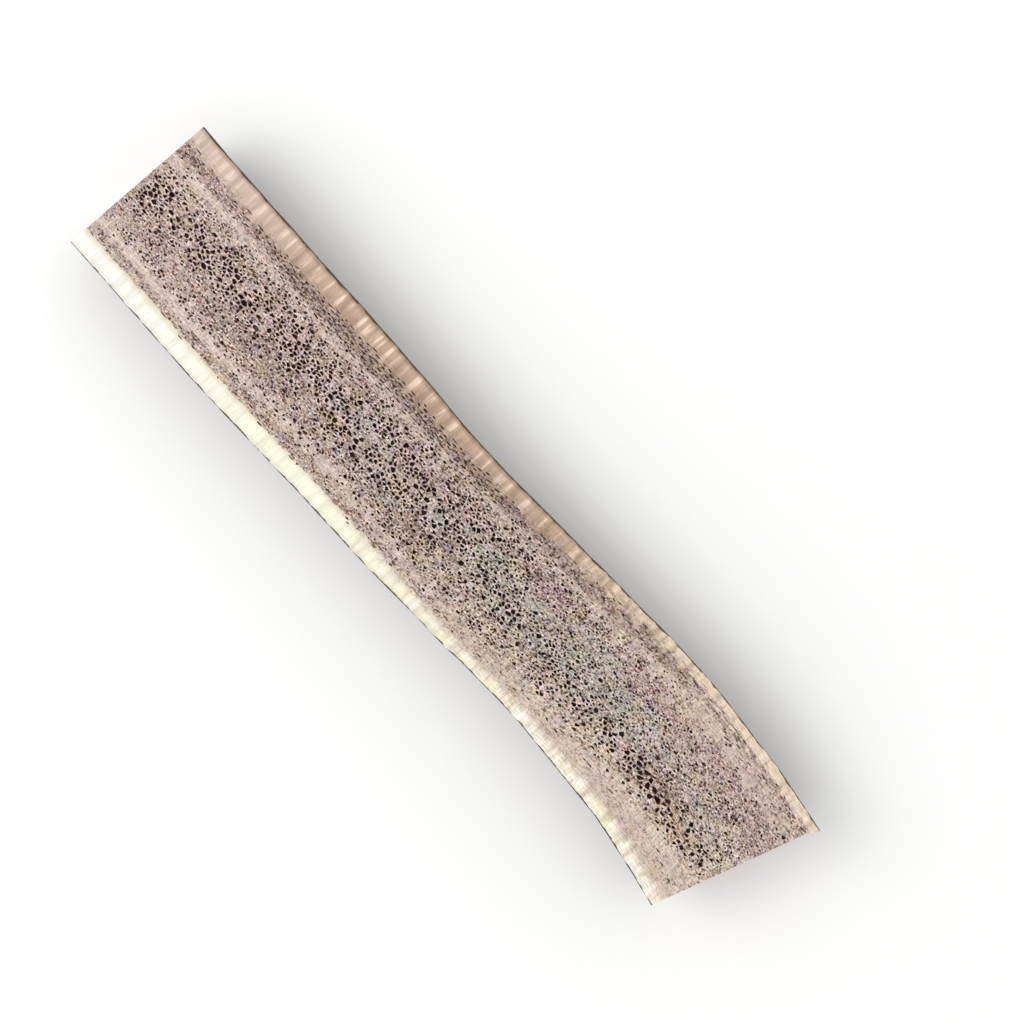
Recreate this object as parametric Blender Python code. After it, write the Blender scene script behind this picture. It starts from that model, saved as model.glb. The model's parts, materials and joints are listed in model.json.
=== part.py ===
"""Half of a deer antler's beam, sawn lengthwise and lying on its bark, sawn face up.

Metres, +Z up. The piece runs along +X from a square saw cut to a slanted one. Its origin is
the middle of its footprint, on the surface that it lies on. The whole beam is lofted first,
round as it grew, and then sawn: lengthwise, at both ends, and last the larger pores.
"""

import math
import random

import bmesh
import bpy
from mathutils import Matrix, Vector, noise

MM = 0.001

# The beam, in millimetres: how far along, how far its middle lies to the side,
# its half width at the saw cut, and its depth below the cut.
BEAM_STATIONS = (
    (-8.0, 0.1, 16.4, 16.2),
    (8.0, -0.1, 16.2, 16.3),
    (22.0, -0.1, 16.2, 16.4),
    (40.0, 0.1, 16.2, 16.1),
    (60.0, 0.5, 15.8, 15.5),
    (80.0, 0.8, 15.4, 15.2),
    (100.0, 1.8, 15.5, 15.5),
    (115.0, 2.8, 15.5, 16.0),
    (130.0, 3.1, 16.0, 16.4),
    (145.0, 2.5, 16.3, 16.5),
    (160.0, 0.7, 16.9, 16.4),
    (178.0, -2.4, 17.6, 16.2),
)
SECTION_FULLNESS = 2.12  # superellipse power: 2 is an ellipse, more is squarer
BEAM_SIDES = 72
BEAM_RINGS = 56
REST_DEPTH = 15.8 * MM  # the belly's lowest ridges are worn level here

# Bark relief
FURROW_DEPTH = 0.7 * MM
FURROW_HALF_WIDTH = 0.38  # of the noise that the furrows follow
FURROW_SPACING = 4.6 * MM
FURROW_LENGTH = 30.0 * MM
SWELL_DEPTH = 0.35 * MM
SWELL_SPACING = 13.0 * MM
SWELL_LENGTH = 38.0 * MM
EDGE_RELIEF = 0.3  # share of the relief that is left along the sawn edges
EDGE_CALM = 0.35  # how far below them it is back in full, over the section's depth

# Saw cuts
SQUARE_END = 0.0
SQUARE_END_SLANT = math.radians(0.3)
SLANTED_END = 165.5 * MM  # where the cut crosses the middle line
END_SLANT = math.radians(16.4)
SPLINTER_SIDE = 14.0 * MM  # the bone outside this is left as a short splinter
SPLINTER_LENGTH = 0.5 * MM
SPLINTER_THICKNESS = 4.5 * MM
CUTTER_SIZE = 80.0 * MM
WELD_DISTANCE = 0.001 * MM

# Compact bone round the spongy core, in millimetres: how far along, its thickness on the
# +Y side and on the -Y side.
RIM_STATIONS = (
    (0.0, 4.2, 4.0),
    (20.0, 4.6, 3.8),
    (60.0, 4.1, 3.4),
    (90.0, 3.4, 3.2),
    (115.0, 2.6, 3.6),
    (130.0, 2.2, 4.6),
    (150.0, 2.2, 5.4),
    (172.0, 2.2, 5.6),
)

# The band of large pores down the core, in millimetres: how far along, its side place, and
# its spread to each side.
PORE_BAND_STATIONS = (
    (0.0, 2.0, 2.6),
    (22.0, 1.6, 2.2),
    (50.0, 1.6, 2.6),
    (65.0, -2.0, 2.2),
    (77.0, 0.8, 2.4),
    (96.0, -0.7, 2.4),
    (120.0, -0.6, 2.2),
    (143.0, -2.3, 2.4),
    (158.0, -3.2, 2.2),
    (172.0, -3.6, 2.0),
)
# A thinner second line of pores nearer the -Y side
PORE_LINE_STATIONS = (
    (0.0, -8.0, 0.9),
    (40.0, -8.0, 0.9),
    (80.0, -7.0, 0.9),
    (115.0, -5.6, 1.0),
    (172.0, -5.0, 1.0),
)
PORE_COUNT = 200
PORE_SEED = 11
PORE_TRIES = 60000
PORE_RADIUS = (0.36 * MM, 0.7 * MM)
PORE_DEPTH = (0.9 * MM, 1.9 * MM)
PORE_STRETCH = (1.0, 1.55)  # length over width, along the beam
PORE_FLOOR = 0.55  # a pore's floor over its mouth
PORE_WALL = 0.35 * MM  # least bone between two pores
PORE_SIDES = 6
PORE_ELSEWHERE = 0.09  # chance of a large pore away from the band and the line
PORE_LINE_WEIGHT = 0.55
CUTTER_CLEARANCE = 0.4 * MM  # how far a pore cutter stands above the face it cuts

# Pores on the two end cuts
END_PORE_COUNT = 14
END_CORE_DEPTH = 11.0 * MM
END_CORE_HALF_WIDTH = 9.5 * MM

BARK_COLOUR = (0.098, 0.053, 0.020, 1.0)
BONE_COLOUR = (0.420, 0.315, 0.255, 1.0)
BARK_ROUGHNESS = 0.72
BONE_ROUGHNESS = 0.82


def station_values(stations, along):
    """Values at a place along the beam, in metres, on a smooth curve through the stations."""
    places = [station[0] * MM for station in stations]
    after = next((i for i, place in enumerate(places) if place > along), len(places) - 1)
    after = max(after, 1)
    before = after - 1
    span = places[after] - places[before]
    t = min(max((along - places[before]) / span, 0.0), 1.0)
    first, last = max(before - 1, 0), min(after + 1, len(places) - 1)
    values = []
    for column in range(1, len(stations[0])):
        value = [station[column] * MM for station in stations]
        slope_before = (value[after] - value[first]) / (places[after] - places[first]) * span
        slope_after = (value[last] - value[before]) / (places[last] - places[before]) * span
        values.append(
            (2 * t**3 - 3 * t**2 + 1) * value[before]
            + (t**3 - 2 * t**2 + t) * slope_before
            + (3 * t**2 - 2 * t**3) * value[after]
            + (t**3 - t**2) * slope_after
        )
    return values


def rounded(value):
    """A cosine or sine bent to the fuller section."""
    return math.copysign(abs(value) ** (2.0 / SECTION_FULLNESS), value)


def bark_relief(point):
    """How far the bark lies below its crests: long furrows over a slower swell."""
    furrow = noise.noise(
        Vector((point.x / FURROW_LENGTH, point.y / FURROW_SPACING, point.z / FURROW_SPACING))
    )
    swell = noise.noise(
        Vector((point.x / SWELL_LENGTH, point.y / SWELL_SPACING, point.z / SWELL_SPACING + 7.3))
    )
    groove = max(0.0, 1.0 - abs(furrow) / FURROW_HALF_WIDTH)
    return FURROW_DEPTH * groove**1.5 + SWELL_DEPTH * (0.5 - 0.5 * swell)


def bark_point(along, angle):
    """A point of the bark; the angle is 0 at the +Y edge of the cut and 90 degrees below."""
    middle, half_width, depth = station_values(BEAM_STATIONS, along)
    outward = Vector((0.0, math.cos(angle), -math.sin(angle)))
    crest = Vector((
        along,
        middle + half_width * rounded(outward.y),
        depth * rounded(outward.z),
    ))
    below_edge = min(1.0, abs(outward.z) / EDGE_CALM)
    relief = bark_relief(crest) * (EDGE_RELIEF + (1.0 - EDGE_RELIEF) * below_edge)
    point = crest - outward * relief
    point.z = max(point.z, -REST_DEPTH)
    return point


def new_material(name, colour, roughness):
    """A plain matte finish."""
    material = bpy.data.materials.new(name)
    material.use_nodes = True
    shader = material.node_tree.nodes["Principled BSDF"]
    shader.inputs["Base Color"].default_value = colour
    shader.inputs["Roughness"].default_value = roughness
    shader.inputs["Metallic"].default_value = 0.0
    return material


def add_object(name, shape, collection, materials, parent):
    """An object made from a bmesh, which is freed."""
    mesh = bpy.data.meshes.new(name)
    shape.to_mesh(mesh)
    shape.free()
    for material in materials:
        mesh.materials.append(material)
    result = bpy.data.objects.new(name, mesh)
    collection.objects.link(result)
    result.parent = parent
    return result


def saw(target, cutter):
    """Take the cutter out of the target; the cut takes the cutter's material."""
    cutter.hide_render = True
    cutter.display_type = "WIRE"
    for face in cutter.data.polygons:
        face.material_index = 1
    cut = target.modifiers.new(cutter.name, "BOOLEAN")
    cut.operation = "DIFFERENCE"
    cut.solver = "EXACT"
    cut.object = cutter


def loft_beam():
    """The beam as it grew: rings of bark joined along its length, with flat ends."""
    shape = bmesh.new()
    start = BEAM_STATIONS[0][0] * MM
    end = BEAM_STATIONS[-1][0] * MM
    rings = []
    for ring in range(BEAM_RINGS):
        along = start + (end - start) * ring / (BEAM_RINGS - 1)
        # Half a step round, so that no corner lies on the lengthwise cut
        angles = [math.tau * (side + 0.5) / BEAM_SIDES for side in range(BEAM_SIDES)]
        rings.append([shape.verts.new(bark_point(along, angle)) for angle in angles])
    for ring, following in zip(rings, rings[1:]):
        for side in range(BEAM_SIDES):
            beside = (side + 1) % BEAM_SIDES
            shape.faces.new((ring[side], ring[beside], following[beside], following[side]))
    shape.faces.new(rings[0])
    shape.faces.new(reversed(rings[-1]))
    bmesh.ops.recalc_face_normals(shape, faces=shape.faces)
    return shape


def face_cutter():
    """Everything above the sawn face."""
    shape = bmesh.new()
    reach = 2 * BEAM_STATIONS[-1][0] * MM
    middle = Matrix.Translation((0.25 * reach, 0.0, 0.5 * CUTTER_SIZE))
    size = Matrix.Diagonal((reach, CUTTER_SIZE, CUTTER_SIZE, 1.0))
    bmesh.ops.create_cube(shape, size=1.0, matrix=middle @ size)
    return shape


def square_end_cutter():
    """Everything before the square end."""
    shape = bmesh.new()
    end = Matrix.Translation((SQUARE_END, 0.0, 0.0)) @ Matrix.Rotation(-SQUARE_END_SLANT, 4, "Z")
    middle = Matrix.Translation((-0.5 * CUTTER_SIZE, 0.0, 0.0))
    size = Matrix.Diagonal((CUTTER_SIZE, CUTTER_SIZE, CUTTER_SIZE, 1.0))
    bmesh.ops.create_cube(shape, size=1.0, matrix=end @ middle @ size)
    return shape


def slanted_end_place(outward):
    """The frame of the slanted end, this far past it, with +X pointing along the beam."""
    slant = Matrix.Rotation(-END_SLANT, 4, "Z")
    return Matrix.Translation((SLANTED_END, 0.0, 0.0)) @ slant @ Matrix.Translation((outward, 0, 0))


def slanted_end_cutter():
    """Everything past the slanted end, apart from the splinter at its +Y side."""
    outline = (
        (-CUTTER_SIZE, -CUTTER_SIZE),
        (CUTTER_SIZE, -CUTTER_SIZE),
        (CUTTER_SIZE, -SPLINTER_THICKNESS),
        (SPLINTER_SIDE, -SPLINTER_THICKNESS),
        (SPLINTER_SIDE, CUTTER_CLEARANCE),
        (-CUTTER_SIZE, CUTTER_CLEARANCE),
    )
    curve = bpy.data.curves.new("slanted_end_outline", "CURVE")
    curve.dimensions = "2D"
    curve.fill_mode = "BOTH"
    curve.extrude = 0.5 * CUTTER_SIZE
    spline = curve.splines.new("POLY")
    spline.points.add(len(outline) - 1)
    for point, (side, height) in zip(spline.points, outline):
        point.co = (side, height, 0.0, 1.0)
    spline.use_cyclic_u = True
    drawn = bpy.data.objects.new("slanted_end_outline", curve)
    bpy.context.scene.collection.objects.link(drawn)
    bpy.context.view_layer.update()
    mesh = bpy.data.meshes.new_from_object(
        drawn.evaluated_get(bpy.context.evaluated_depsgraph_get())
    )
    bpy.data.objects.remove(drawn)
    shape = bmesh.new()
    shape.from_mesh(mesh)
    bpy.data.meshes.remove(mesh)
    bmesh.ops.remove_doubles(shape, verts=shape.verts, dist=WELD_DISTANCE)
    # The outline's own X, Y and Z become the beam's side, height and length
    upright = Matrix(((0, 0, 1, 0), (1, 0, 0, 0), (0, 1, 0, 0), (0, 0, 0, 1)))
    bmesh.ops.transform(
        shape, matrix=slanted_end_place(0.5 * CUTTER_SIZE) @ upright, verts=shape.verts
    )
    return shape


def splinter_cutter():
    """Everything past the tip of the splinter."""
    shape = bmesh.new()
    place = slanted_end_place(SPLINTER_LENGTH + 0.5 * CUTTER_SIZE)
    size = Matrix.Diagonal((CUTTER_SIZE, CUTTER_SIZE, CUTTER_SIZE, 1.0))
    bmesh.ops.create_cube(shape, size=1.0, matrix=place @ size)
    return shape


def slanted_end_at(side):
    """How far along the slanted end lies, at a place to the side."""
    return SLANTED_END + math.tan(END_SLANT) * side


def core_edges(along):
    """The -Y and +Y edges of the spongy core on the sawn face."""
    middle, half_width, _ = station_values(BEAM_STATIONS, along)
    upper, lower = station_values(RIM_STATIONS, along)
    return middle - half_width + lower, middle + half_width - upper


def large_pore_chance(along, side):
    """How likely the core is to hold a large pore here, from 0 to 1."""
    band, band_spread = station_values(PORE_BAND_STATIONS, along)
    line, line_spread = station_values(PORE_LINE_STATIONS, along)
    in_band = math.exp(-(((side - band) / band_spread) ** 2))
    in_line = PORE_LINE_WEIGHT * math.exp(-(((side - line) / line_spread) ** 2))
    return min(1.0, in_band + in_line + PORE_ELSEWHERE)


def large_pores():
    """The large pores of the sawn face: place along, place to the side and radius."""
    draw = random.Random(PORE_SEED)
    pores = []
    for _ in range(PORE_TRIES):
        along = draw.uniform(SQUARE_END, SLANTED_END)
        low, high = core_edges(along)
        side = draw.uniform(low, high)
        chance = large_pore_chance(along, side)
        radius = PORE_RADIUS[0] + (PORE_RADIUS[1] - PORE_RADIUS[0]) * draw.random() * chance
        if draw.random() > chance**2:
            continue
        margin = PORE_STRETCH[1] * radius + PORE_WALL
        if not low + margin < side < high - margin:
            continue
        if not SQUARE_END + 2 * margin < along < slanted_end_at(side) - 2 * margin:
            continue
        if any(
            math.hypot(along - other[0], side - other[1])
            < PORE_STRETCH[1] * (radius + other[2]) + PORE_WALL
            for other in pores
        ):
            continue
        pores.append((along, side, radius))
        if len(pores) == PORE_COUNT:
            break
    return pores


def add_pore(shape, draw, frame, radius):
    """A tapered six-sided cutter in a frame whose +Z points out of the face."""
    depth = draw.uniform(*PORE_DEPTH)
    stretch = draw.uniform(*PORE_STRETCH)
    height = depth + CUTTER_CLEARANCE
    place = (
        frame
        @ Matrix.Rotation(draw.uniform(-0.35, 0.35), 4, "Z")
        @ Matrix.Diagonal((stretch, 1.0, 1.0, 1.0))
        @ Matrix.Rotation(draw.uniform(0.0, math.tau / PORE_SIDES), 4, "Z")
        @ Matrix.Translation((0.0, 0.0, 0.5 * height - depth))
    )
    bmesh.ops.create_cone(
        shape,
        cap_ends=True,
        segments=PORE_SIDES,
        radius1=radius * PORE_FLOOR,
        radius2=radius,
        depth=height,
        matrix=place,
    )


def pore_cutters():
    """All the pores as one cutter: the sawn face's, then a few on each end."""
    draw = random.Random(PORE_SEED + 1)
    shape = bmesh.new()
    for along, side, radius in large_pores():
        add_pore(shape, draw, Matrix.Translation((along, side, 0.0)), radius)
    ends = (
        (SQUARE_END, math.pi - SQUARE_END_SLANT, SQUARE_END_SLANT),
        (SLANTED_END, -END_SLANT, END_SLANT),
    )
    for along, turn, slant in ends:
        middle = station_values(BEAM_STATIONS, along)[0]
        for side, down, radius in end_pores(draw):
            place = Vector((along + math.tan(slant) * (middle + side), middle + side, -down))
            out = Matrix.Rotation(turn, 4, "Z") @ Matrix.Rotation(math.radians(90.0), 4, "Y")
            add_pore(shape, draw, Matrix.Translation(place) @ out, radius)
    return shape


def end_pores(draw):
    """Pores of one end cut: place to the side, depth below the sawn face, and radius."""
    pores = []
    while len(pores) < END_PORE_COUNT:
        radius = draw.uniform(*PORE_RADIUS)
        side = draw.uniform(-END_CORE_HALF_WIDTH, END_CORE_HALF_WIDTH)
        down = draw.uniform(3.0 * PORE_RADIUS[1] + PORE_DEPTH[1], END_CORE_DEPTH)
        if math.hypot(side / END_CORE_HALF_WIDTH, down / END_CORE_DEPTH) > 1.0:
            continue
        if any(
            math.hypot(side - other[0], down - other[1])
            < PORE_STRETCH[1] * (radius + other[2]) + PORE_WALL
            for other in pores
        ):
            continue
        pores.append((side, down, radius))
    return pores


def stand_on_origin(target, holder):
    """Move the holder so that the target's footprint is centred and its belly is at z = 0."""
    bpy.context.view_layer.update()
    evaluated = target.evaluated_get(bpy.context.evaluated_depsgraph_get())
    corners = [evaluated.matrix_world @ vertex.co for vertex in evaluated.data.vertices]
    low = Vector(min(corner[axis] for corner in corners) for axis in range(3))
    high = Vector(max(corner[axis] for corner in corners) for axis in range(3))
    centre = 0.5 * (low + high)
    holder.location = (-centre.x, -centre.y, -low.z)
    bpy.context.view_layer.update()


def build():
    """Model the split antler in an emptied scene."""
    for existing in list(bpy.data.objects):
        bpy.data.objects.remove(existing)
    parts = bpy.data.collections.new("deer_antler")
    cutters = bpy.data.collections.new("cutters")
    for collection in (parts, cutters):
        bpy.context.scene.collection.children.link(collection)
    materials = (
        new_material("bark", BARK_COLOUR, BARK_ROUGHNESS),
        new_material("sawn_bone", BONE_COLOUR, BONE_ROUGHNESS),
    )
    holder = bpy.data.objects.new("footprint_middle", None)
    parts.objects.link(holder)

    antler = add_object("split_antler", loft_beam(), parts, materials, holder)
    for name, shape in (
        ("lengthwise_cut", face_cutter()),
        ("square_end_cut", square_end_cutter()),
        ("slanted_end_cut", slanted_end_cutter()),
        ("splinter_cut", splinter_cutter()),
        ("pore_cut", pore_cutters()),
    ):
        saw(antler, add_object(name, shape, cutters, materials, holder))
    antler.data.shade_smooth()
    antler.data.set_sharp_from_angle(angle=math.radians(40.0))
    stand_on_origin(antler, holder)


build()
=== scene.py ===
"""Looks of the split deer antler: a porous sawn face, two cut ends and furrowed bark.

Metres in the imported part's frame: +X along the antler, +Y across it, +Z out of the sawn face.
The beam itself is described as it grew, with its own lengths along and to the side, and one
shift puts it in the frame. The sawn face, the two ends and the bark make one closed mesh.
"""
import json
import logging
import math
import random
from abc import ABC, abstractmethod
from dataclasses import dataclass, field
from enum import Enum

import bpy
import numpy as np
from mathutils import Matrix, Vector, noise
from mathutils.geometry import delaunay_2d_cdt

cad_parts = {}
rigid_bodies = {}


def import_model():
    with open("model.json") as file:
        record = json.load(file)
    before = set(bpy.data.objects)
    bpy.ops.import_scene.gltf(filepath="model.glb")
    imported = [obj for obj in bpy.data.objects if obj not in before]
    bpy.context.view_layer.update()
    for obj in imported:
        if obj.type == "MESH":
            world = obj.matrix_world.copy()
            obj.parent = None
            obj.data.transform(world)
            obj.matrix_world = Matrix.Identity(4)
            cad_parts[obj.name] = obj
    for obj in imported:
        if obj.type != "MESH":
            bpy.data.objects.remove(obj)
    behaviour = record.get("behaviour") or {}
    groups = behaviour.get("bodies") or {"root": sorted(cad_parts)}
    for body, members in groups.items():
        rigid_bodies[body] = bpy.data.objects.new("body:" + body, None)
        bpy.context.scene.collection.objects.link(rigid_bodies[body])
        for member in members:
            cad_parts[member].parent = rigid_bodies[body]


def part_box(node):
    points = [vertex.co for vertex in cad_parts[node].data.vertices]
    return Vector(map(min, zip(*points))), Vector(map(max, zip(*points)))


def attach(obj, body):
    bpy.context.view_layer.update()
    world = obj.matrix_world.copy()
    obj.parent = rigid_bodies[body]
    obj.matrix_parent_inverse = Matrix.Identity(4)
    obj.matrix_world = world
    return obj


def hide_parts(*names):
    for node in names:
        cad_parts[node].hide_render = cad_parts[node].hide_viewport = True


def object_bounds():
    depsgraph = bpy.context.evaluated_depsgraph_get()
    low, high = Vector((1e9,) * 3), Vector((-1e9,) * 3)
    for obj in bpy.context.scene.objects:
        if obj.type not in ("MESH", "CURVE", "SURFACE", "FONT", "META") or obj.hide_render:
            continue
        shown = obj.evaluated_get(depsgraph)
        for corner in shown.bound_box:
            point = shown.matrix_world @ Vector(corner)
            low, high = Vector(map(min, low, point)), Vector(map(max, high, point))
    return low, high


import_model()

LOG = logging.getLogger("split_antler")
CAD_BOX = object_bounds()
CAD_NODE = "split_antler"
MM = 0.001
SHARP_ANGLE = math.radians(38.0)
MERGE_DISTANCE = 1e-9
LEAST_RISE = 1e-12
LEAST_SLOPE = 1e-14
SIDE_SHIFT = -1.4 * MM

Array = np.ndarray
Colour = tuple[float, float, float, float]
Sizes = tuple[float, float, float]
Pair = tuple[float, float]
Socket = bpy.types.NodeSocket
Node = bpy.types.Node
NodeTree = bpy.types.NodeTree
Material = bpy.types.Material


def shade(red: int, green: int, blue: int, light: float = 1.13) -> Colour:
    """Turn a colour as it is seen in full light into a surface colour.

    Args:
        red: Red as displayed, 0 to 255.
        green: Green as displayed, 0 to 255.
        blue: Blue as displayed, 0 to 255.
        light: How much light falls on the surface, where 1 shows a white surface as white.

    Returns:
        The linear colour, with alpha.
    """
    linear = []
    for value in (red, green, blue):
        share = value / 255.0
        low = share / 12.92
        high = ((share + 0.055) / 1.055) ** 2.4
        linear.append(min((low if share <= 0.04045 else high) / light, 0.92))
    return (*linear, 1.0)


def smooth_step(low: float, high: float, value: Array) -> Array:
    """Rise smoothly from 0 at low to 1 at high; low may be the larger."""
    t = np.clip((value - low) / (high - low), 0.0, 1.0)
    return t * t * (3.0 - 2.0 * t)


def bell(value: Array, middle: Array, spread: Array) -> Array:
    """Fall smoothly from 1 at the middle towards 0, over the spread."""
    return np.exp(-(((value - middle) / spread) ** 2))


def noise_at(points: Array, scale: Sizes) -> Array:
    """Gradient noise at many points.

    Args:
        points: Points, one a row.
        scale: The noise's size along each axis.

    Returns:
        Noise from about -1 to 1, one value a point.
    """
    scaled = points / np.array(scale)
    return np.array([noise.noise(Vector(point)) for point in scaled.tolist()])


class Surface(Enum):
    """Which finish a face takes; the values are the mesh's material slots."""

    BARK = 0
    SAWN = 1


class End(Enum):
    """The two cut ends; the values are the directions that they face along the beam."""

    SQUARE = -1
    SLANTED = 1


@dataclass(frozen=True)
class StationCurve:
    """Values that change smoothly along the beam.

    Attributes:
        stations: In millimetres, a place along the beam and the values there.
    """

    stations: tuple[tuple[float, ...], ...]

    def at(self, along: Array | float) -> list[Array]:
        """Read the values at places along the beam.

        Args:
            along: Places along the beam, in metres.

        Returns:
            For each value of a station, its value at each place, in metres.
        """
        table = np.array(self.stations) * MM
        places, values = table[:, 0], table[:, 1:]
        slopes = np.empty_like(values)
        slopes[1:-1] = (values[2:] - values[:-2]) / (places[2:] - places[:-2])[:, None]
        slopes[0] = (values[1] - values[0]) / (places[1] - places[0])
        slopes[-1] = (values[-1] - values[-2]) / (places[-1] - places[-2])
        along = np.asarray(along, float)
        before = np.clip(np.searchsorted(places, along, side="right") - 1, 0, len(places) - 2)
        span = places[before + 1] - places[before]
        t = np.clip((along - places[before]) / span, 0.0, 1.0)
        read = []
        for column in range(values.shape[1]):
            value, slope = values[:, column], slopes[:, column]
            read.append(
                (2 * t**3 - 3 * t**2 + 1) * value[before]
                + (t**3 - 2 * t**2 + t) * slope[before] * span
                + (3 * t**2 - 2 * t**3) * value[before + 1]
                + (t**3 - t**2) * slope[before + 1] * span
            )
        return read


@dataclass(frozen=True)
class Beam:
    """The beam's form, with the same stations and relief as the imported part.

    Attributes:
        form: Middle line, half width and depth.
        rim: Thickness of the compact bone on the +Y and the -Y side.
        strips: Two pale strips of denser bone along the core, by their place across, their
            spread and how marked they are.
        fullness: Superellipse power of the section.
        rest_depth: How far the worn belly lies below the sawn face.
        square_end: Where the square end crosses the middle line.
        square_slant: Slant of the square end, in radians.
        slanted_end: Where the slanted end crosses the middle line.
        end_slant: Slant of the slanted end, in radians.
        splinter_side: Where the splinter begins, to the side.
        splinter_length: How far the splinter stands out of the slanted end.
        splinter_thickness: How far it reaches below the sawn face.
        splinter_softness: Over what distance its sides rise.
    """

    form: StationCurve = StationCurve((
        (-8.0, 0.1, 16.4, 16.2), (8.0, -0.1, 16.2, 16.3), (22.0, -0.1, 16.2, 16.4),
        (40.0, 0.1, 16.2, 16.1), (60.0, 0.5, 15.8, 15.5), (80.0, 0.8, 15.4, 15.2),
        (100.0, 1.8, 15.5, 15.5), (115.0, 2.8, 15.5, 16.0), (130.0, 3.1, 16.0, 16.4),
        (145.0, 2.5, 16.3, 16.5), (160.0, 0.7, 16.9, 16.4), (178.0, -2.4, 17.6, 16.2),
    ))
    rim: StationCurve = StationCurve((
        (0.0, 4.2, 4.0), (20.0, 4.6, 3.8), (60.0, 4.1, 3.4), (90.0, 3.4, 3.2), (115.0, 2.6, 3.6),
        (130.0, 2.2, 4.6), (150.0, 2.2, 5.4), (172.0, 2.2, 5.6),
    ))
    strips: tuple[StationCurve, StationCurve] = (
        StationCurve((
            (0.0, -9.4, 0.9, 0.95), (8.0, -9.4, 0.9, 0.95), (21.0, -9.7, 1.0, 0.95),
            (41.0, -8.7, 0.9, 0.7), (66.0, -8.7, 1.0, 0.75), (95.0, -10.2, 1.4, 0.5),
            (123.0, -10.8, 2.0, 0.4), (147.0, -9.8, 2.2, 0.6), (172.0, -9.4, 2.2, 0.5),
        )),
        StationCurve((
            (0.0, 7.8, 1.2, 0.8), (8.0, 8.0, 1.2, 0.8), (21.0, 8.7, 1.1, 0.7),
            (41.0, 7.9, 1.0, 0.5), (66.0, 8.5, 1.0, 0.55), (95.0, 9.4, 1.0, 0.45),
            (123.0, 10.3, 1.6, 0.5), (147.0, 11.3, 2.2, 0.75), (172.0, 11.8, 2.2, 0.4),
        )),
    )
    fullness: float = 2.12
    rest_depth: float = 15.8 * MM
    square_end: float = 0.0
    square_slant: float = math.radians(0.3)
    slanted_end: float = 165.5 * MM
    end_slant: float = math.radians(16.4)
    splinter_side: float = 14.0 * MM
    splinter_length: float = 0.5 * MM
    splinter_thickness: float = 4.5 * MM
    splinter_softness: float = 0.15 * MM

    def slant(self, end: End) -> float:
        """How far a cut end is slanted, in radians."""
        return self.square_slant if end is End.SQUARE else self.end_slant

    def end_at(self, end: End, side: Array | float) -> Array:
        """Where a cut end lies along the beam, at places to the side."""
        start = self.square_end if end is End.SQUARE else self.slanted_end
        return start + math.tan(self.slant(end)) * np.asarray(side)

    def splinter(self, side: Array, height: Array) -> Array:
        """How far the slanted end stands out, at places to the side and heights."""
        softness = self.splinter_softness
        outside = smooth_step(self.splinter_side - softness, self.splinter_side + softness, side)
        ledge = -self.splinter_thickness
        above = smooth_step(ledge - 3 * softness, ledge + 3 * softness, height)
        return self.splinter_length * outside * above

    def core_edges(self, along: Array | float) -> tuple[Array, Array]:
        """The -Y and +Y edges of the spongy core on the sawn face."""
        middle, half_width, _ = self.form.at(along)
        upper, lower = self.rim.at(along)
        return middle - half_width + lower, middle + half_width - upper

    def in_strips(self, along: Array, side: Array) -> Array:
        """How far into the two pale strips places on the sawn face are, 0 to 1."""
        across = side - self.form.at(along)[0]
        share = np.zeros_like(across)
        for strip in self.strips:
            middle, spread, strength = strip.at(along)
            share = np.maximum(share, strength / MM * bell(across, middle, spread))
        return share


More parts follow.
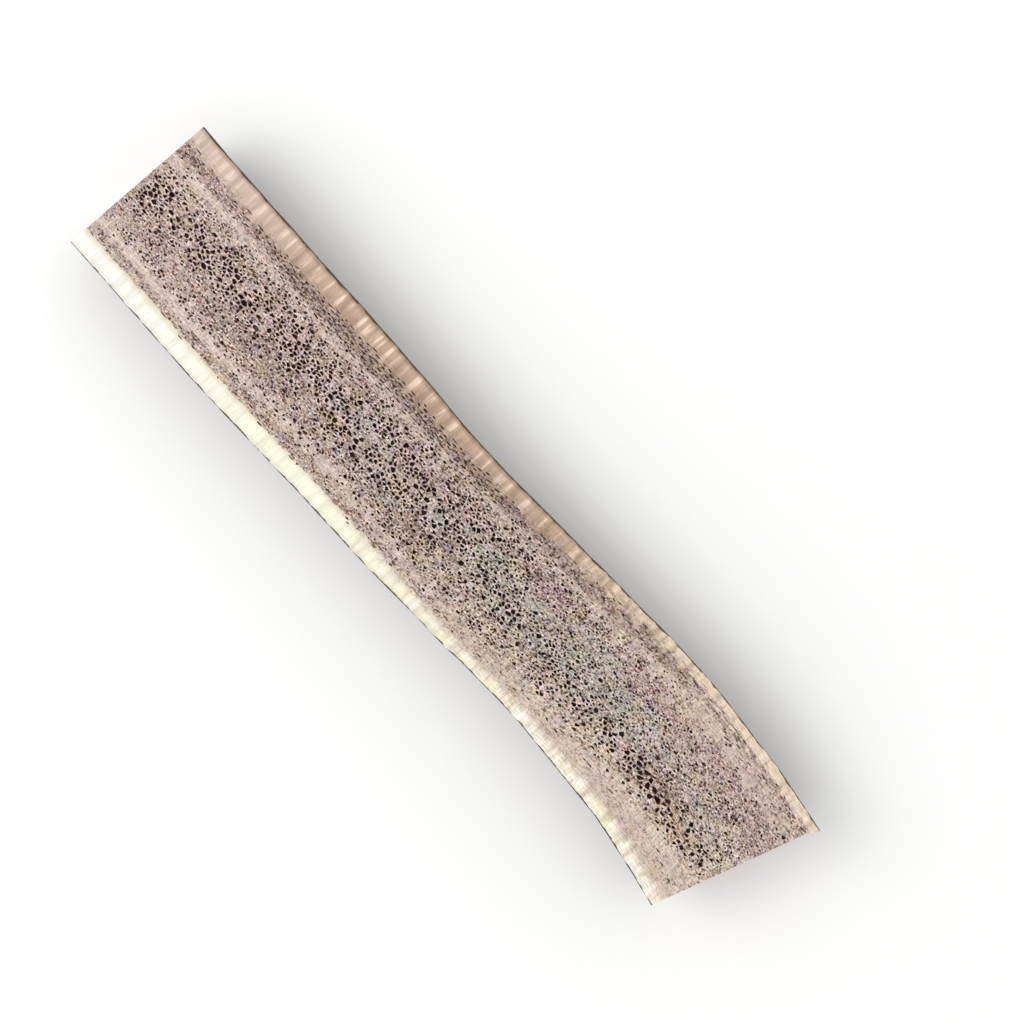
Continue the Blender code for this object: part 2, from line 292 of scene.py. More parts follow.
@dataclass(frozen=True)
class BarkRelief:
    """Relief of the bark: the part's furrows and swells, and finer ones in them.

    Attributes:
        edge_share: Share of the relief that is left along the sawn edges.
        edge_calm: How far below them it is back in full, over the section's depth.
        furrow_size: Size of the long furrows, along each axis.
        furrow_depth: Their depth.
        furrow_width: Share of their noise that is furrow.
        swell_size: Size of the slow swells.
        swell_depth: Their depth.
        crease_size: Size of the creases between the furrows.
        crease_depth: Their depth.
        crease_width: Share of their noise that is crease.
        wrinkle_size: Size of the finest wrinkles.
        wrinkle_depth: Their depth.
        wrinkle_width: Share of their noise that is wrinkle.
        swell_shift: How far the noise of the swells is shifted upwards.
        crease_shift: How far that of the creases is shifted along every axis.
        wrinkle_shift: How far that of the wrinkles is.
    """

    edge_share: float = 0.3
    edge_calm: float = 0.35
    furrow_size: Sizes = (30.0 * MM, 4.6 * MM, 4.6 * MM)
    furrow_depth: float = 0.7 * MM
    furrow_width: float = 0.38
    swell_size: Sizes = (38.0 * MM, 13.0 * MM, 13.0 * MM)
    swell_depth: float = 0.35 * MM
    crease_size: Sizes = (15.0 * MM, 1.9 * MM, 1.9 * MM)
    crease_depth: float = 0.34 * MM
    crease_width: float = 0.34
    wrinkle_size: Sizes = (6.5 * MM, 0.95 * MM, 0.95 * MM)
    wrinkle_depth: float = 0.12 * MM
    wrinkle_width: float = 0.5
    swell_shift: float = 7.3 * 13.0 * MM
    crease_shift: float = 0.31
    wrinkle_shift: float = 0.77

    def coarse(self, crest: Array) -> tuple[Array, Array]:
        """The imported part's own relief.

        Args:
            crest: Points of the smooth form.

        Returns:
            How far the bark lies below them, and how much of that is furrow, 0 to 1.
        """
        furrow = noise_at(crest, self.furrow_size)
        swell = noise_at(crest + np.array((0.0, 0.0, self.swell_shift)), self.swell_size)
        groove = np.maximum(0.0, 1.0 - np.abs(furrow) / self.furrow_width) ** 1.5
        return self.furrow_depth * groove + self.swell_depth * (0.5 - 0.5 * swell), groove

    def fine(self, crest: Array) -> tuple[Array, Array]:
        """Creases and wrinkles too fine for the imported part.

        Args:
            crest: Points of the smooth form.

        Returns:
            How far they cut below it, and how deep in a crease each point is, 0 to 1.
        """
        crease = noise_at(crest + self.crease_shift, self.crease_size)
        wrinkle = noise_at(crest + self.wrinkle_shift, self.wrinkle_size)
        crease_cut = np.maximum(0.0, 1.0 - np.abs(crease) / self.crease_width) ** 1.4
        wrinkle_cut = np.maximum(0.0, 1.0 - np.abs(wrinkle) / self.wrinkle_width)
        cut = self.crease_depth * crease_cut + self.wrinkle_depth * wrinkle_cut
        return cut, np.clip(0.75 * crease_cut + 0.35 * wrinkle_cut, 0.0, 1.0)


@dataclass
class MeshStore:
    """One mesh, while it is put together.

    Attributes:
        names: Names of the values that each point has.
        points: Blocks of points.
        grown: The same points in the beam's straightened lengths, in millimetres.
        values: Their values, in the order of the names.
        triangles: Blocks of triangles.
        surfaces: The finish of each triangle.
        flat: The corners of each triangle on the bake sheet.
        count: How many points there are.
    """

    names: tuple[str, ...] = ("core", "edge", "pore", "tone", "mouth_highlight", "strip", "groove")
    points: list[Array] = field(default_factory=list)
    grown: list[Array] = field(default_factory=list)
    values: list[Array] = field(default_factory=list)
    triangles: list[Array] = field(default_factory=list)
    surfaces: list[Array] = field(default_factory=list)
    flat: list[Array] = field(default_factory=list)
    count: int = 0

    def add_points(self, points: Array, grown: Array, **values: object) -> Array:
        """Add points.

        Args:
            points: Their places, one a row.
            grown: The same points in the beam's straightened lengths, in millimetres.
            values: Their values by name; a name left out is 0.

        Returns:
            The indices of the new points.
        """
        table = np.zeros((len(points), len(self.names)))
        for name, value in values.items():
            table[:, self.names.index(name)] = value
        self.points.append(points)
        self.grown.append(grown)
        self.values.append(table)
        start, self.count = self.count, self.count + len(points)
        return np.arange(start, self.count)

    def add_triangles(self, triangles: Array, surface: Surface, flat: Array) -> None:
        """Add triangles.

        Args:
            triangles: Point indices, three a row.
            surface: The finish that they take.
            flat: For each triangle, its three corners on the bake sheet.
        """
        self.triangles.append(triangles)
        self.surfaces.append(np.full(len(triangles), surface.value))
        self.flat.append(flat)

    def build(self, name: str, materials: list[Material]) -> bpy.types.Object:
        """Make the object.

        Args:
            name: The object's name.
            materials: One a surface, in the order of the surfaces' values.

        Returns:
            The new object, shaded smooth apart from its sharp edges.
        """
        low, high = (np.array(corner) for corner in CAD_BOX)
        points = np.concatenate(self.points)
        shift = 0.5 * (low + high) - 0.5 * (points.min(0) + points.max(0))
        shift[2] = high[2] - points[:, 2].max()
        points = np.clip(points + shift, low, high)
        triangles = np.concatenate(self.triangles)
        mesh = bpy.data.meshes.new(name)
        mesh.from_pydata(points.tolist(), [], triangles.tolist())
        mesh.uv_layers.new(name="OFBake").data.foreach_set(
            "uv", np.concatenate(self.flat).astype(np.float32).ravel()
        )
        mesh.polygons.foreach_set("material_index", np.concatenate(self.surfaces).astype(np.int32))
        grown = mesh.attributes.new("grown", "FLOAT_VECTOR", "POINT")
        grown.data.foreach_set("vector", np.concatenate(self.grown).astype(np.float32).ravel())
        table = np.concatenate(self.values).astype(np.float32)
        for column, value in enumerate(self.names):
            attribute = mesh.attributes.new(value, "FLOAT", "POINT")
            attribute.data.foreach_set("value", table[:, column].copy())
        for material in materials:
            mesh.materials.append(material)
        mesh.shade_smooth()
        mesh.set_sharp_from_angle(angle=SHARP_ANGLE)
        if mesh.validate():
            LOG.warning("%s had faces that Blender mended", name)
        made = bpy.data.objects.new(name, mesh)
        bpy.context.scene.collection.objects.link(made)
        LOG.info("%s: %d points, %d triangles", name, len(points), len(triangles))
        return made


@dataclass(frozen=True)
class BakeStrip:
    """A rectangle of the bake sheet that one part of the surface fills.

    Attributes:
        low: The rectangle's lower corner.
        high: Its upper corner.
    """

    low: Pair
    high: Pair

    def lay(self, across: Array, up: Array) -> Array:
        """Place shares from 0 to 1 on the sheet."""
        return np.stack((
            self.low[0] + (self.high[0] - self.low[0]) * across,
            self.low[1] + (self.high[1] - self.low[1]) * up,
        ), axis=-1)


@dataclass(frozen=True)
class CutPlane:
    """A flat cut with its own two directions.

    Attributes:
        origin: A point of the plane.
        right: Unit vector of the first direction.
        up: Unit vector of the second direction.
    """

    origin: Vector
    right: Vector
    up: Vector

    def place(self, flat: Array, depth: Array | float = 0.0) -> Array:
        """Put flat points into space, at depths below the cut."""
        out = self.right.cross(self.up)
        depth = np.broadcast_to(np.asarray(depth, float), (len(flat),))
        return (
            np.array(self.origin)
            + flat[:, :1] * np.array(self.right)
            + flat[:, 1:] * np.array(self.up)
            - depth[:, None] * np.array(out)
        )


@dataclass(frozen=True)
class Pore:
    """One pore: its mouth, in order against the clock, and how it narrows downwards.

    Attributes:
        mouth: Flat points of its rim.
        steps: For each ring below the rim, its size over the mouth's and its depth.
        tone: How dark it is inside, from marrow and painted shade, 0 to 1.
        mouth_highlight: How strong the painted highlight on the bone round its mouth is, 0 to 1.
    """

    mouth: Array
    steps: tuple[Pair, ...]
    tone: float
    mouth_highlight: float = 0.0


@dataclass(kw_only=True)
class PorePlan(ABC):
    """Where pores are and how large: a seeded foam of cells, some of them closed.

    Attributes:
        stretch: How much longer the cells are along the cut than across it.
        seed: Seed of the foam.
        rim_space: Spacing of the cells in the compact bone, in millimetres.
        core_space: Their least spacing in the core, in millimetres.
        unevenness: How much the cells' sizes vary.
        size_range: The smallest and the largest that a cell can be, over its usual size.
        tries: How many points are thrown for the cells' middles.
        half_wall: Half the thickness of the thinnest wall between two pores.
        fine: Size below which a pore is a plain pit with a pointed floor.
        coarse: Size above which a pore is ragged and narrows in two steps.
    """

    stretch: float
    seed: int
    rim_space: float
    core_space: float
    unevenness: float = 0.58
    size_range: Pair = (0.74, 2.5)
    tries: int
    half_wall: float = 0.045 * MM
    fine: float = 0.34 * MM
    coarse: float = 0.56 * MM

    @abstractmethod
    def edge(self, flat: Array) -> Array:
        """How far flat points are from the bark."""

    @abstractmethod
    def core(self, flat: Array) -> Array:
        """How far inside the spongy core flat points are; below 0 in the compact bone."""

    def in_strips(self, flat: Array) -> Array:
        """How far into pale strips of the core flat points are, 0 to 1; here there are none."""
        return np.zeros(len(flat))

    @abstractmethod
    def inside(self, flat: Array) -> Array:
        """Which flat points are far enough inside the cut's outline."""

    @abstractmethod
    def spacing(self, flat: Array) -> Array:
        """How far apart the cells' middles are, at flat points."""

    @abstractmethod
    def openness(self, flat: Array) -> Array:
        """How likely a cell is to be open, at flat points."""

    @abstractmethod
    def mouth_share(self, flat: Array) -> tuple[Array, Array]:
        """How much of its cell a mouth fills, along and across."""

    @abstractmethod
    def make(self) -> tuple[list[Pore], Array]:
        """Lay out the pores, and single points between them."""

    def scatter(
        self, low: Array, high: Array, first: Array, apart: Array
    ) -> tuple[Array, Array]:
        """Throw points that keep their spacing.

        Args:
            low: Lower corner of the area.
            high: Upper corner of the area.
            first: Points that are there from the start.
            apart: Their spacing.

        Returns:
            The points, with the first ones first, and the spacing of each.
        """
        draw = np.random.default_rng(self.seed)
        tried = low + (high - low) * draw.random((self.tries, 2))
        tried = tried[self.inside(tried)]
        points = np.concatenate((first, tried))
        uneven = np.exp(draw.normal(0.0, self.unevenness, len(tried)))
        uneven = np.clip(uneven, *self.size_range)
        spaces = np.concatenate((apart, self.spacing(tried) * uneven))
        cell = float(spaces.max())
        cells: dict[tuple[int, int], list[tuple[float, float, float]]] = {}
        kept = []
        for index, (x, y) in enumerate((points / np.array((self.stretch, 1.0))).tolist()):
            space = float(spaces[index])
            column, row = int(x // cell), int(y // cell)
            clear = index < len(first) or all(
                (x - other[0]) ** 2 + (y - other[1]) ** 2 >= (0.5 * (space + other[2])) ** 2
                for i in (column - 1, column, column + 1)
                for j in (row - 1, row, row + 1)
                for other in cells.get((i, j), ())
            )
            if clear:
                cells.setdefault((column, row), []).append((x, y, space))
                kept.append(index)
        return points[kept], spaces[kept]

    def cells(self, points: Array) -> list[Array]:
        """Find the part of the plane that is nearest to each point.

        Args:
            points: The cells' middles.

        Returns:
            Each cell's corners, against the clock; an open cell at the edge has stray corners.
        """
        squeezed = points / np.array((self.stretch, 1.0))
        places = [Vector(place) for place in squeezed.tolist()]
        result = delaunay_2d_cdt(places, [], [], 0, MERGE_DISTANCE, True)
        source = np.array([ids[0] for ids in result[3]])
        triangles = source[np.array(result[2])]
        a, b, c = (squeezed[triangles[:, i]] for i in range(3))
        b, c = b - a, c - a
        twice = 2.0 * (b[:, 0] * c[:, 1] - b[:, 1] * c[:, 0])
        b2, c2 = (b**2).sum(1), (c**2).sum(1)
        centres = a + np.stack((
            (c[:, 1] * b2 - b[:, 1] * c2) / twice,
            (b[:, 0] * c2 - c[:, 0] * b2) / twice,
        ), axis=1)
        owner = triangles.ravel()
        order = np.argsort(owner, kind="stable")
        starts = np.searchsorted(owner[order], np.arange(len(points) + 1))
        found = []
        for index in range(len(points)):
            corners = centres[order[starts[index]:starts[index + 1]] // 3]
            turn = np.arctan2(
                corners[:, 1] - squeezed[index, 1], corners[:, 0] - squeezed[index, 0]
            )
            found.append(corners[np.argsort(turn)] * np.array((self.stretch, 1.0)))
        return found

    def cell_pore(
        self, cell: Array, middle: Array, share: Pair, space: float,
        draw: random.Random,
    ) -> Pore | None:
        """Open a pore in a cell.

        Args:
            cell: The cell's corners.
            middle: A point inside it.
            share: How much of the cell the mouth fills, along and across.
            space: The cell's spacing.
            draw: Source of the pore's irregularity.

        Returns:
            The pore, or None where the cell is too odd for one.
        """
        centre = 0.5 * (cell.mean(0) + middle)
        following = np.roll(cell, -1, axis=0) - cell
        out = np.column_stack((following[:, 1], -following[:, 0]))
        reach = (out * (cell - centre)).sum(1) - self.half_wall * np.hypot(*out.T)
        if len(cell) < 4 or reach.min() <= 0.0 or np.hypot(*(cell - centre).T).max() > 3.0 * space:
            return None
        corners = [cell[0]]
        for corner in cell[1:]:
            if min(math.dist(corner, corners[-1]), math.dist(corner, corners[0])) > 0.3 * space:
                corners.append(corner)
        if len(corners) < 4:
            return None
        size = 0.5 * space * (share[0] + share[1])
        if size > self.coarse:
            beside = corners[1:] + corners[:1]
            corners = [
                a + (b - a) * draw.uniform(*part) for a, b in zip(corners, beside)
                for part in ((0.12, 0.3), (0.6, 0.85))
            ]
        arms = np.array(corners) - centre
        rough = np.array([draw.triangular(0.55, 1.12, 0.98) for _ in corners])
        arms *= rough[:, None] * np.array(share)
        toward = arms @ out.T
        slope = np.maximum(toward, LEAST_SLOPE)
        limit = np.where(toward > LEAST_SLOPE, reach / slope, np.inf).min(1)
        held = 1.0 - 0.012 * (np.arange(len(arms)) % 2)
        arms *= np.where(limit < 1.0, held * limit, 1.0)[:, None]
        mouth = centre + arms
        radius = float(np.hypot(*arms.T).mean())
        depth = radius * draw.uniform(1.2, 2.0)
        if size < self.fine:
            steps: tuple[Pair, ...] = ((0.0, depth),)
        elif size < self.coarse:
            steps = ((0.55, depth),)
        else:
            steps = ((0.86, 0.3 * depth), (0.5, depth))
        return Pore(mouth, steps, 1.0)


@dataclass(kw_only=True)
class SawnFacePores(PorePlan):
    """Pores of the sawn face: a band of large ones, a thin line, and fine ones around.

    Attributes:
        beam: The beam that is cut.
        outline: Along, and the -Y and +Y edges there, of the sawn face as it is.
        margin: Least bone between a pore and the outline.
        band: Middle and spread of the band of large pores.
        line: Middle and spread of the thin line of pores beside it.
        shoulder: Middle, spread and strength of the broad coarse zone round the band.
        second: The same, of a weaker zone beside that.
        hollows: The largest, torn ones: along, to the side and radius, in millimetres.
        hollow_clearance: How far the other large pores stay from a torn one.
        large_seed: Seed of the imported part's own large pores.
        large_count: How many of them there are.
        large_tries: How many places are tried for them.
        large_radius: Their least and their largest radius.
        large_stretch: How much longer they are along the beam than across it.
        large_space: Spacing of their cells, over their radius.
        wall: Least bone between them.
        elsewhere: Chance of one outside the band and the line.
        line_weight: How much less likely one is in the line than in the band.
        slit_seed: Seed of the slits.
        slit_tries: How many slits are tried at the +Y and at the -Y edge of the core.
        slit_zone: Where the slits begin to crowd, are crowded, thin out and are few again.
        slit_clearance: How far a slit stays from a large pore.
        slit_step: Spacing of the points that keep a slit's place free.
        slit_gap: Least distance between two slits.
        slit_space: Spacing of the cells beside a slit.
    """

    beam: Beam
    outline: tuple[Array, Array, Array]
    stretch: float = 1.4
    seed: int = 5
    rim_space: float = 1.0
    core_space: float = 0.42
    tries: int = 120000
    margin: float = 0.22 * MM
    band: StationCurve = StationCurve((
        (0.0, 2.0, 2.6), (22.0, 1.6, 2.2), (50.0, 1.6, 2.6), (65.0, -2.0, 2.2), (77.0, 0.8, 2.4),
        (96.0, -0.7, 2.4), (120.0, -0.6, 2.2), (143.0, -2.3, 2.4), (158.0, -3.2, 2.2),
        (172.0, -3.6, 2.0),
    ))
    line: StationCurve = StationCurve((
        (0.0, -8.0, 0.9), (40.0, -8.0, 0.9), (80.0, -7.0, 0.9), (115.0, -5.6, 1.0),
        (172.0, -5.0, 1.0),
    ))
    shoulder: StationCurve = StationCurve((
        (0.0, 1.2, 5.0, 1.1), (14.0, 1.2, 5.2, 1.1), (41.0, 0.8, 6.6, 1.1),
        (68.0, 0.2, 7.6, 1.0), (96.0, 1.8, 7.4, 1.0), (123.0, 0.8, 5.8, 0.7),
        (146.0, -1.8, 3.4, 0.9), (154.0, -2.4, 3.0, 0.5), (172.0, -2.8, 3.0, 0.4),
    ))
    second: StationCurve = StationCurve((
        (0.0, 3.4, 1.8, 0.2), (30.0, 4.0, 2.2, 0.5), (52.0, 4.6, 2.4, 0.9),
        (68.0, 5.2, 2.8, 1.2), (90.0, 7.0, 3.2, 1.2), (108.0, 7.4, 3.2, 0.8),
        (130.0, 7.4, 3.0, 0.5), (172.0, 4.0, 3.0, 0.8),
    ))
    hollows: tuple[tuple[float, float, float], ...] = (
        (2.5, 2.4, 0.8), (4.5, 0.0, 0.85), (7.9, 1.3, 0.85), (10.4, -0.4, 0.65), (13.0, 3.0, 0.6),
        (29.2, 0.3, 0.75), (32.8, 0.7, 0.75), (52.4, 0.9, 0.9), (63.0, -3.1, 0.85),
        (69.9, 0.8, 0.7), (83.7, -2.3, 0.75), (90.9, -1.1, 0.95), (127.4, -0.3, 0.7),
        (136.9, -1.0, 0.8), (139.3, -2.5, 0.65), (139.8, -0.8, 0.65), (142.2, -0.7, 0.95),
        (143.8, -2.4, 0.75), (145.3, -1.7, 0.9), (145.5, -3.4, 0.75), (147.1, -2.7, 0.95),
        (148.5, -1.3, 0.75), (158.6, -4.4, 0.65),
    )
    hollow_clearance: float = 1.5 * MM
    large_seed: int = 11
    large_count: int = 200
    large_tries: int = 60000
    large_radius: Pair = (0.36 * MM, 0.7 * MM)
    large_stretch: float = 1.55
    large_space: float = 1.7
    wall: float = 0.35 * MM
    elsewhere: float = 0.09
    line_weight: float = 0.55
    slit_seed: int = 23
    slit_tries: tuple[int, int] = (2600, 50)
    slit_zone: tuple[float, float, float, float] = (20.0 * MM, 32.0 * MM, 78.0 * MM, 96.0 * MM)
    slit_clearance: float = 1.8 * MM
    slit_step: float = 0.42 * MM
    slit_gap: float = 0.48 * MM
    slit_space: float = 0.56 * MM

    def in_band(self, flat: Array) -> Array:
        """How far into the band of large pores flat points are, 0 to 1."""
        return bell(flat[:, 1], *self.band.at(flat[:, 0]))

    def in_line(self, flat: Array) -> Array:
        """How far into the thin line of pores flat points are, 0 to 1."""
        return bell(flat[:, 1], *self.line.at(flat[:, 0]))

    def in_shoulder(self, flat: Array) -> Array:
        """How far into the broad coarse zone round the band flat points are, 0 to 1."""
        middle, spread, strength = self.shoulder.at(flat[:, 0])
        broad = strength / MM * bell(flat[:, 1], middle, spread)
        middle, spread, strength = self.second.at(flat[:, 0])
        return broad + 0.6 * strength / MM * bell(flat[:, 1], middle, spread)

    def core(self, flat: Array) -> Array:
        """How far inside the spongy core flat points are; below 0 in the compact bone."""
        low, high = self.beam.core_edges(flat[:, 0])
        return np.minimum(flat[:, 1] - low, high - flat[:, 1])

    def in_strips(self, flat: Array) -> Array:
        """How far into the pale strips along the core flat points are, 0 to 1."""
        return self.beam.in_strips(flat[:, 0], flat[:, 1])

    def edge(self, flat: Array) -> Array:
        """How far flat points are from the bark."""
        along, low, high = self.outline
        return np.minimum(
            flat[:, 1] - np.interp(flat[:, 0], along, low),
            np.interp(flat[:, 0], along, high) - flat[:, 1],
        )

    def inside(self, flat: Array) -> Array:
        """Which flat points are far enough inside the cut's outline."""
        margin = self.margin
        after = flat[:, 0] - self.beam.end_at(End.SQUARE, flat[:, 1])
        before = self.beam.end_at(End.SLANTED, flat[:, 1]) - flat[:, 0]
        return (self.edge(flat) > margin) & (after > margin) & (before > margin)

    def spacing(self, flat: Array) -> Array:
        """How far apart the cells' middles are, at flat points."""
        coarse = (
            0.08 * self.in_shoulder(flat) + 0.10 * self.in_band(flat) + 0.06 * self.in_line(flat)
        )
        return np.where(self.core(flat) < 0.0, self.rim_space, self.core_space + coarse) * MM

    def openness(self, flat: Array) -> Array:
        """How likely a cell is to be open, at flat points."""
        points = np.column_stack((flat, np.zeros(len(flat))))
        patches = noise_at(points, (8.0 * MM, 3.0 * MM, 1.0))
        patches += 0.8 * noise_at(points + 0.5, (2.6 * MM, 1.3 * MM, 1.0))
        core = self.core(flat)
        chance = (
            0.32 + 0.42 * patches + 0.14 * self.in_band(flat) + 0.30 * self.in_shoulder(flat)
            + 0.26 * self.in_line(flat)
        )
        chance *= 0.55 + 0.45 * smooth_step(0.0, 3.5 * MM, core)
        low = self.beam.core_edges(flat[:, 0])[0]
        reach = (4.6 + 1.2 * smooth_step(125.0 * MM, 145.0 * MM, flat[:, 0])) * MM
        dense = smooth_step(95.0 * MM, 118.0 * MM, flat[:, 0]) * np.clip(
            (reach - (flat[:, 1] - low)) / (2.4 * MM), 0.0, 1.0
        )
        chance *= (1.0 - 0.85 * dense) * (1.0 - 0.75 * self.in_strips(flat))
        return np.where(core < 0.15 * MM, 0.0, chance)

    def mouth_share(self, flat: Array) -> tuple[Array, Array]:
        """How much of its cell a mouth fills, along and across."""
        deep = smooth_step(0.5 * MM, 5.0 * MM, self.core(flat))
        coarse = 0.2 * self.in_shoulder(flat) + 0.12 * self.in_band(flat) + 0.1 * self.in_line(flat)
        return 0.80 + 0.4 * coarse, 0.52 + 0.20 * deep + 0.75 * coarse

    def large(self) -> tuple[Array, Array]:
        """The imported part's own large pores.

        Returns:
            Their middles and their radii.
        """
        draw = random.Random(self.large_seed)
        least, most = self.large_radius
        pores: list[tuple[float, float, float]] = []
        for _ in range(self.large_tries):
            along = draw.uniform(self.beam.square_end, self.beam.slanted_end)
            low, high = (float(edge) for edge in self.beam.core_edges(along))
            side = draw.uniform(low, high)
            spot = np.array(((along, side),))
            marked = self.in_band(spot)[0] + self.line_weight * self.in_line(spot)[0]
            chance = float(min(1.0, marked + self.elsewhere))
            radius = least + (most - least) * draw.random() * chance
            if draw.random() > chance**2:
                continue
            margin = self.large_stretch * radius + self.wall
            if not low + margin < side < high - margin:
                continue
            before = float(self.beam.end_at(End.SLANTED, side)) - 2 * margin
            if not self.beam.square_end + 2 * margin < along < before:
                continue
            if any(
                math.hypot(along - other[0], side - other[1])
                < self.large_stretch * (radius + other[2]) + self.wall
                for other in pores
            ):
                continue
            pores.append((along, side, radius))
            if len(pores) == self.large_count:
                break
        found = np.array(pores)
        return found[:, :2], found[:, 2]

    def slits(self) -> list[Pore]:
        """Long dark slits where the core meets the compact bone."""
        draw = random.Random(self.slit_seed)
        rise, full, fall, end = self.slit_zone
        slits = []
        for tries, is_upper in zip(self.slit_tries, (True, False)):
            for _ in range(tries):
                along = draw.uniform(0.8 * MM, self.beam.slanted_end - 1.5 * MM)
                crowded = float(smooth_step(rise, full, along) * smooth_step(end, fall, along))
                low, high = (float(edge) for edge in self.beam.core_edges(along))
                inward = draw.triangular(-0.7, 2.6 + 1.2 * crowded, 0.3) * MM
                side = high - inward if is_upper else low + 0.6 * inward
                seldom = 0.12 if along < 60.0 * MM else 0.04
                if is_upper and draw.random() > seldom + (1.0 - seldom) * crowded:
                    continue
                ahead = self.beam.core_edges(along + MM)[1 if is_upper else 0]
                here = high if is_upper else low
                turn = math.atan((float(ahead) - here) / MM) + draw.gauss(0.0, 0.06)
                turn += 0.06 if is_upper and along > 85.0 * MM else 0.0
                half_length = draw.uniform(0.25, 0.8) * MM
                half_width = draw.uniform(0.11, 0.15 + 0.05 * crowded) * MM
                slits.append(self.slit(along, side, turn, half_length, half_width, draw))
        return slits

    @staticmethod
    def slit(
        along: float, side: float, turn: float, half_length: float, half_width: float,
        draw: random.Random,
    ) -> Pore:
        """One slit, pointed at both ends; its first and fifth point are the ends."""
        mouth = []
        for step in range(8):
            angle = math.tau * step / 8
            x = half_length * math.cos(angle)
            y = half_width * math.sin(angle) * draw.uniform(0.7, 1.15)
            mouth.append((
                along + x * math.cos(turn) - y * math.sin(turn),
                side + x * math.sin(turn) + y * math.cos(turn),
            ))
        return Pore(np.array(mouth), ((0.6, 0.3 * MM),), draw.uniform(0.75, 1.0))

    def free_slits(self, large: Array) -> tuple[list[Pore], Array]:
        """Keep the slits that are clear of the large pores and of each other.

        Args:
            large: Middles of the large pores.

        Returns:
            The slits, and points along them that keep their place free.
        """
        kept: list[Pore] = []
        taken: list[tuple[float, float]] = []
        for slit in self.slits():
            if not self.inside(slit.mouth).all():
                continue
            if np.hypot(*(large - slit.mouth.mean(0)).T).min() < self.slit_clearance:
                continue
            first, last = slit.mouth[0], slit.mouth[4]
            steps = max(1, int(round(np.hypot(*(first - last)) / self.slit_step)))
            own = [tuple(first + (last - first) * (step + 0.5) / steps) for step in range(steps)]
            if taken:
                gaps = np.array(taken)[:, None] - np.array(own)[None]
                gaps /= np.array((self.stretch, 1.0))
                if np.hypot(gaps[..., 0], gaps[..., 1]).min() < self.slit_gap:
                    continue
            kept.append(slit)
            taken.extend(own)
        return kept, np.array(taken)

    def make(self) -> tuple[list[Pore], Array]:
        """Lay out the whole face.

        Returns:
            The pores, and single points between them.
        """
        draw = random.Random(self.seed)
        large, radii = self.large()
        torn = np.array(self.hollows) * MM
        gaps = np.hypot(*(large[:, None] - torn[None, :, :2]).transpose(2, 0, 1))
        clear = gaps.min(1) > self.hollow_clearance
        large = np.concatenate((torn[:, :2], large[clear]))
        radii = np.concatenate((torn[:, 2], radii[clear]))
        slits, taken = self.free_slits(large)
        first = np.concatenate((large, taken))
        apart = np.concatenate((self.large_space * radii, np.full(len(taken), self.slit_space)))
        along, lower, upper = self.outline
        low, high = np.array((along.min(), lower.min())), np.array((along.max(), upper.max()))
        points, spaces = self.scatter(low, high, first, apart)
        open_chance = self.openness(points)
        along_share, across_share = self.mouth_share(points)
        coarse = np.clip(
            self.in_band(points) + 0.5 * self.in_line(points) + 0.5 * self.in_shoulder(points),
            0.0, 1.0,
        )
        pores, loose = list(slits), []
        for index, cell in enumerate(self.cells(points)):
            is_large = index < len(large)
            lot, size_lot, tone_lot = draw.random(), draw.random(), draw.random()
            if len(large) <= index < len(first):
                continue
            if not is_large and lot > open_chance[index]:
                loose.append(points[index])
                continue
            longer = draw.uniform(0.86, 1.16)
            if is_large:
                size = 0.44 + 0.30 * coarse[index] + 0.24 * size_lot
                size = 0.95 if index < len(torn) else size
                share = (size * longer, size / longer)
            else:
                size = 0.42 + 0.76 * size_lot
                share = (along_share[index] * size * longer, across_share[index] * size / longer)
            pore = self.cell_pore(cell, points[index], share, spaces[index], draw)
            if pore is None or not self.inside(pore.mouth).all():
                loose.append(points[index])
                continue
            tone = 0.95 if is_large else 0.65 + 0.2 * coarse[index] + 0.35 * tone_lot
            pores.append(Pore(pore.mouth, pore.steps, min(tone, 1.0), draw.random()))
        LOG.info("sawn face: %d large, %d slits, %d pores", len(large), len(slits), len(pores))
        return pores, np.array(loose)


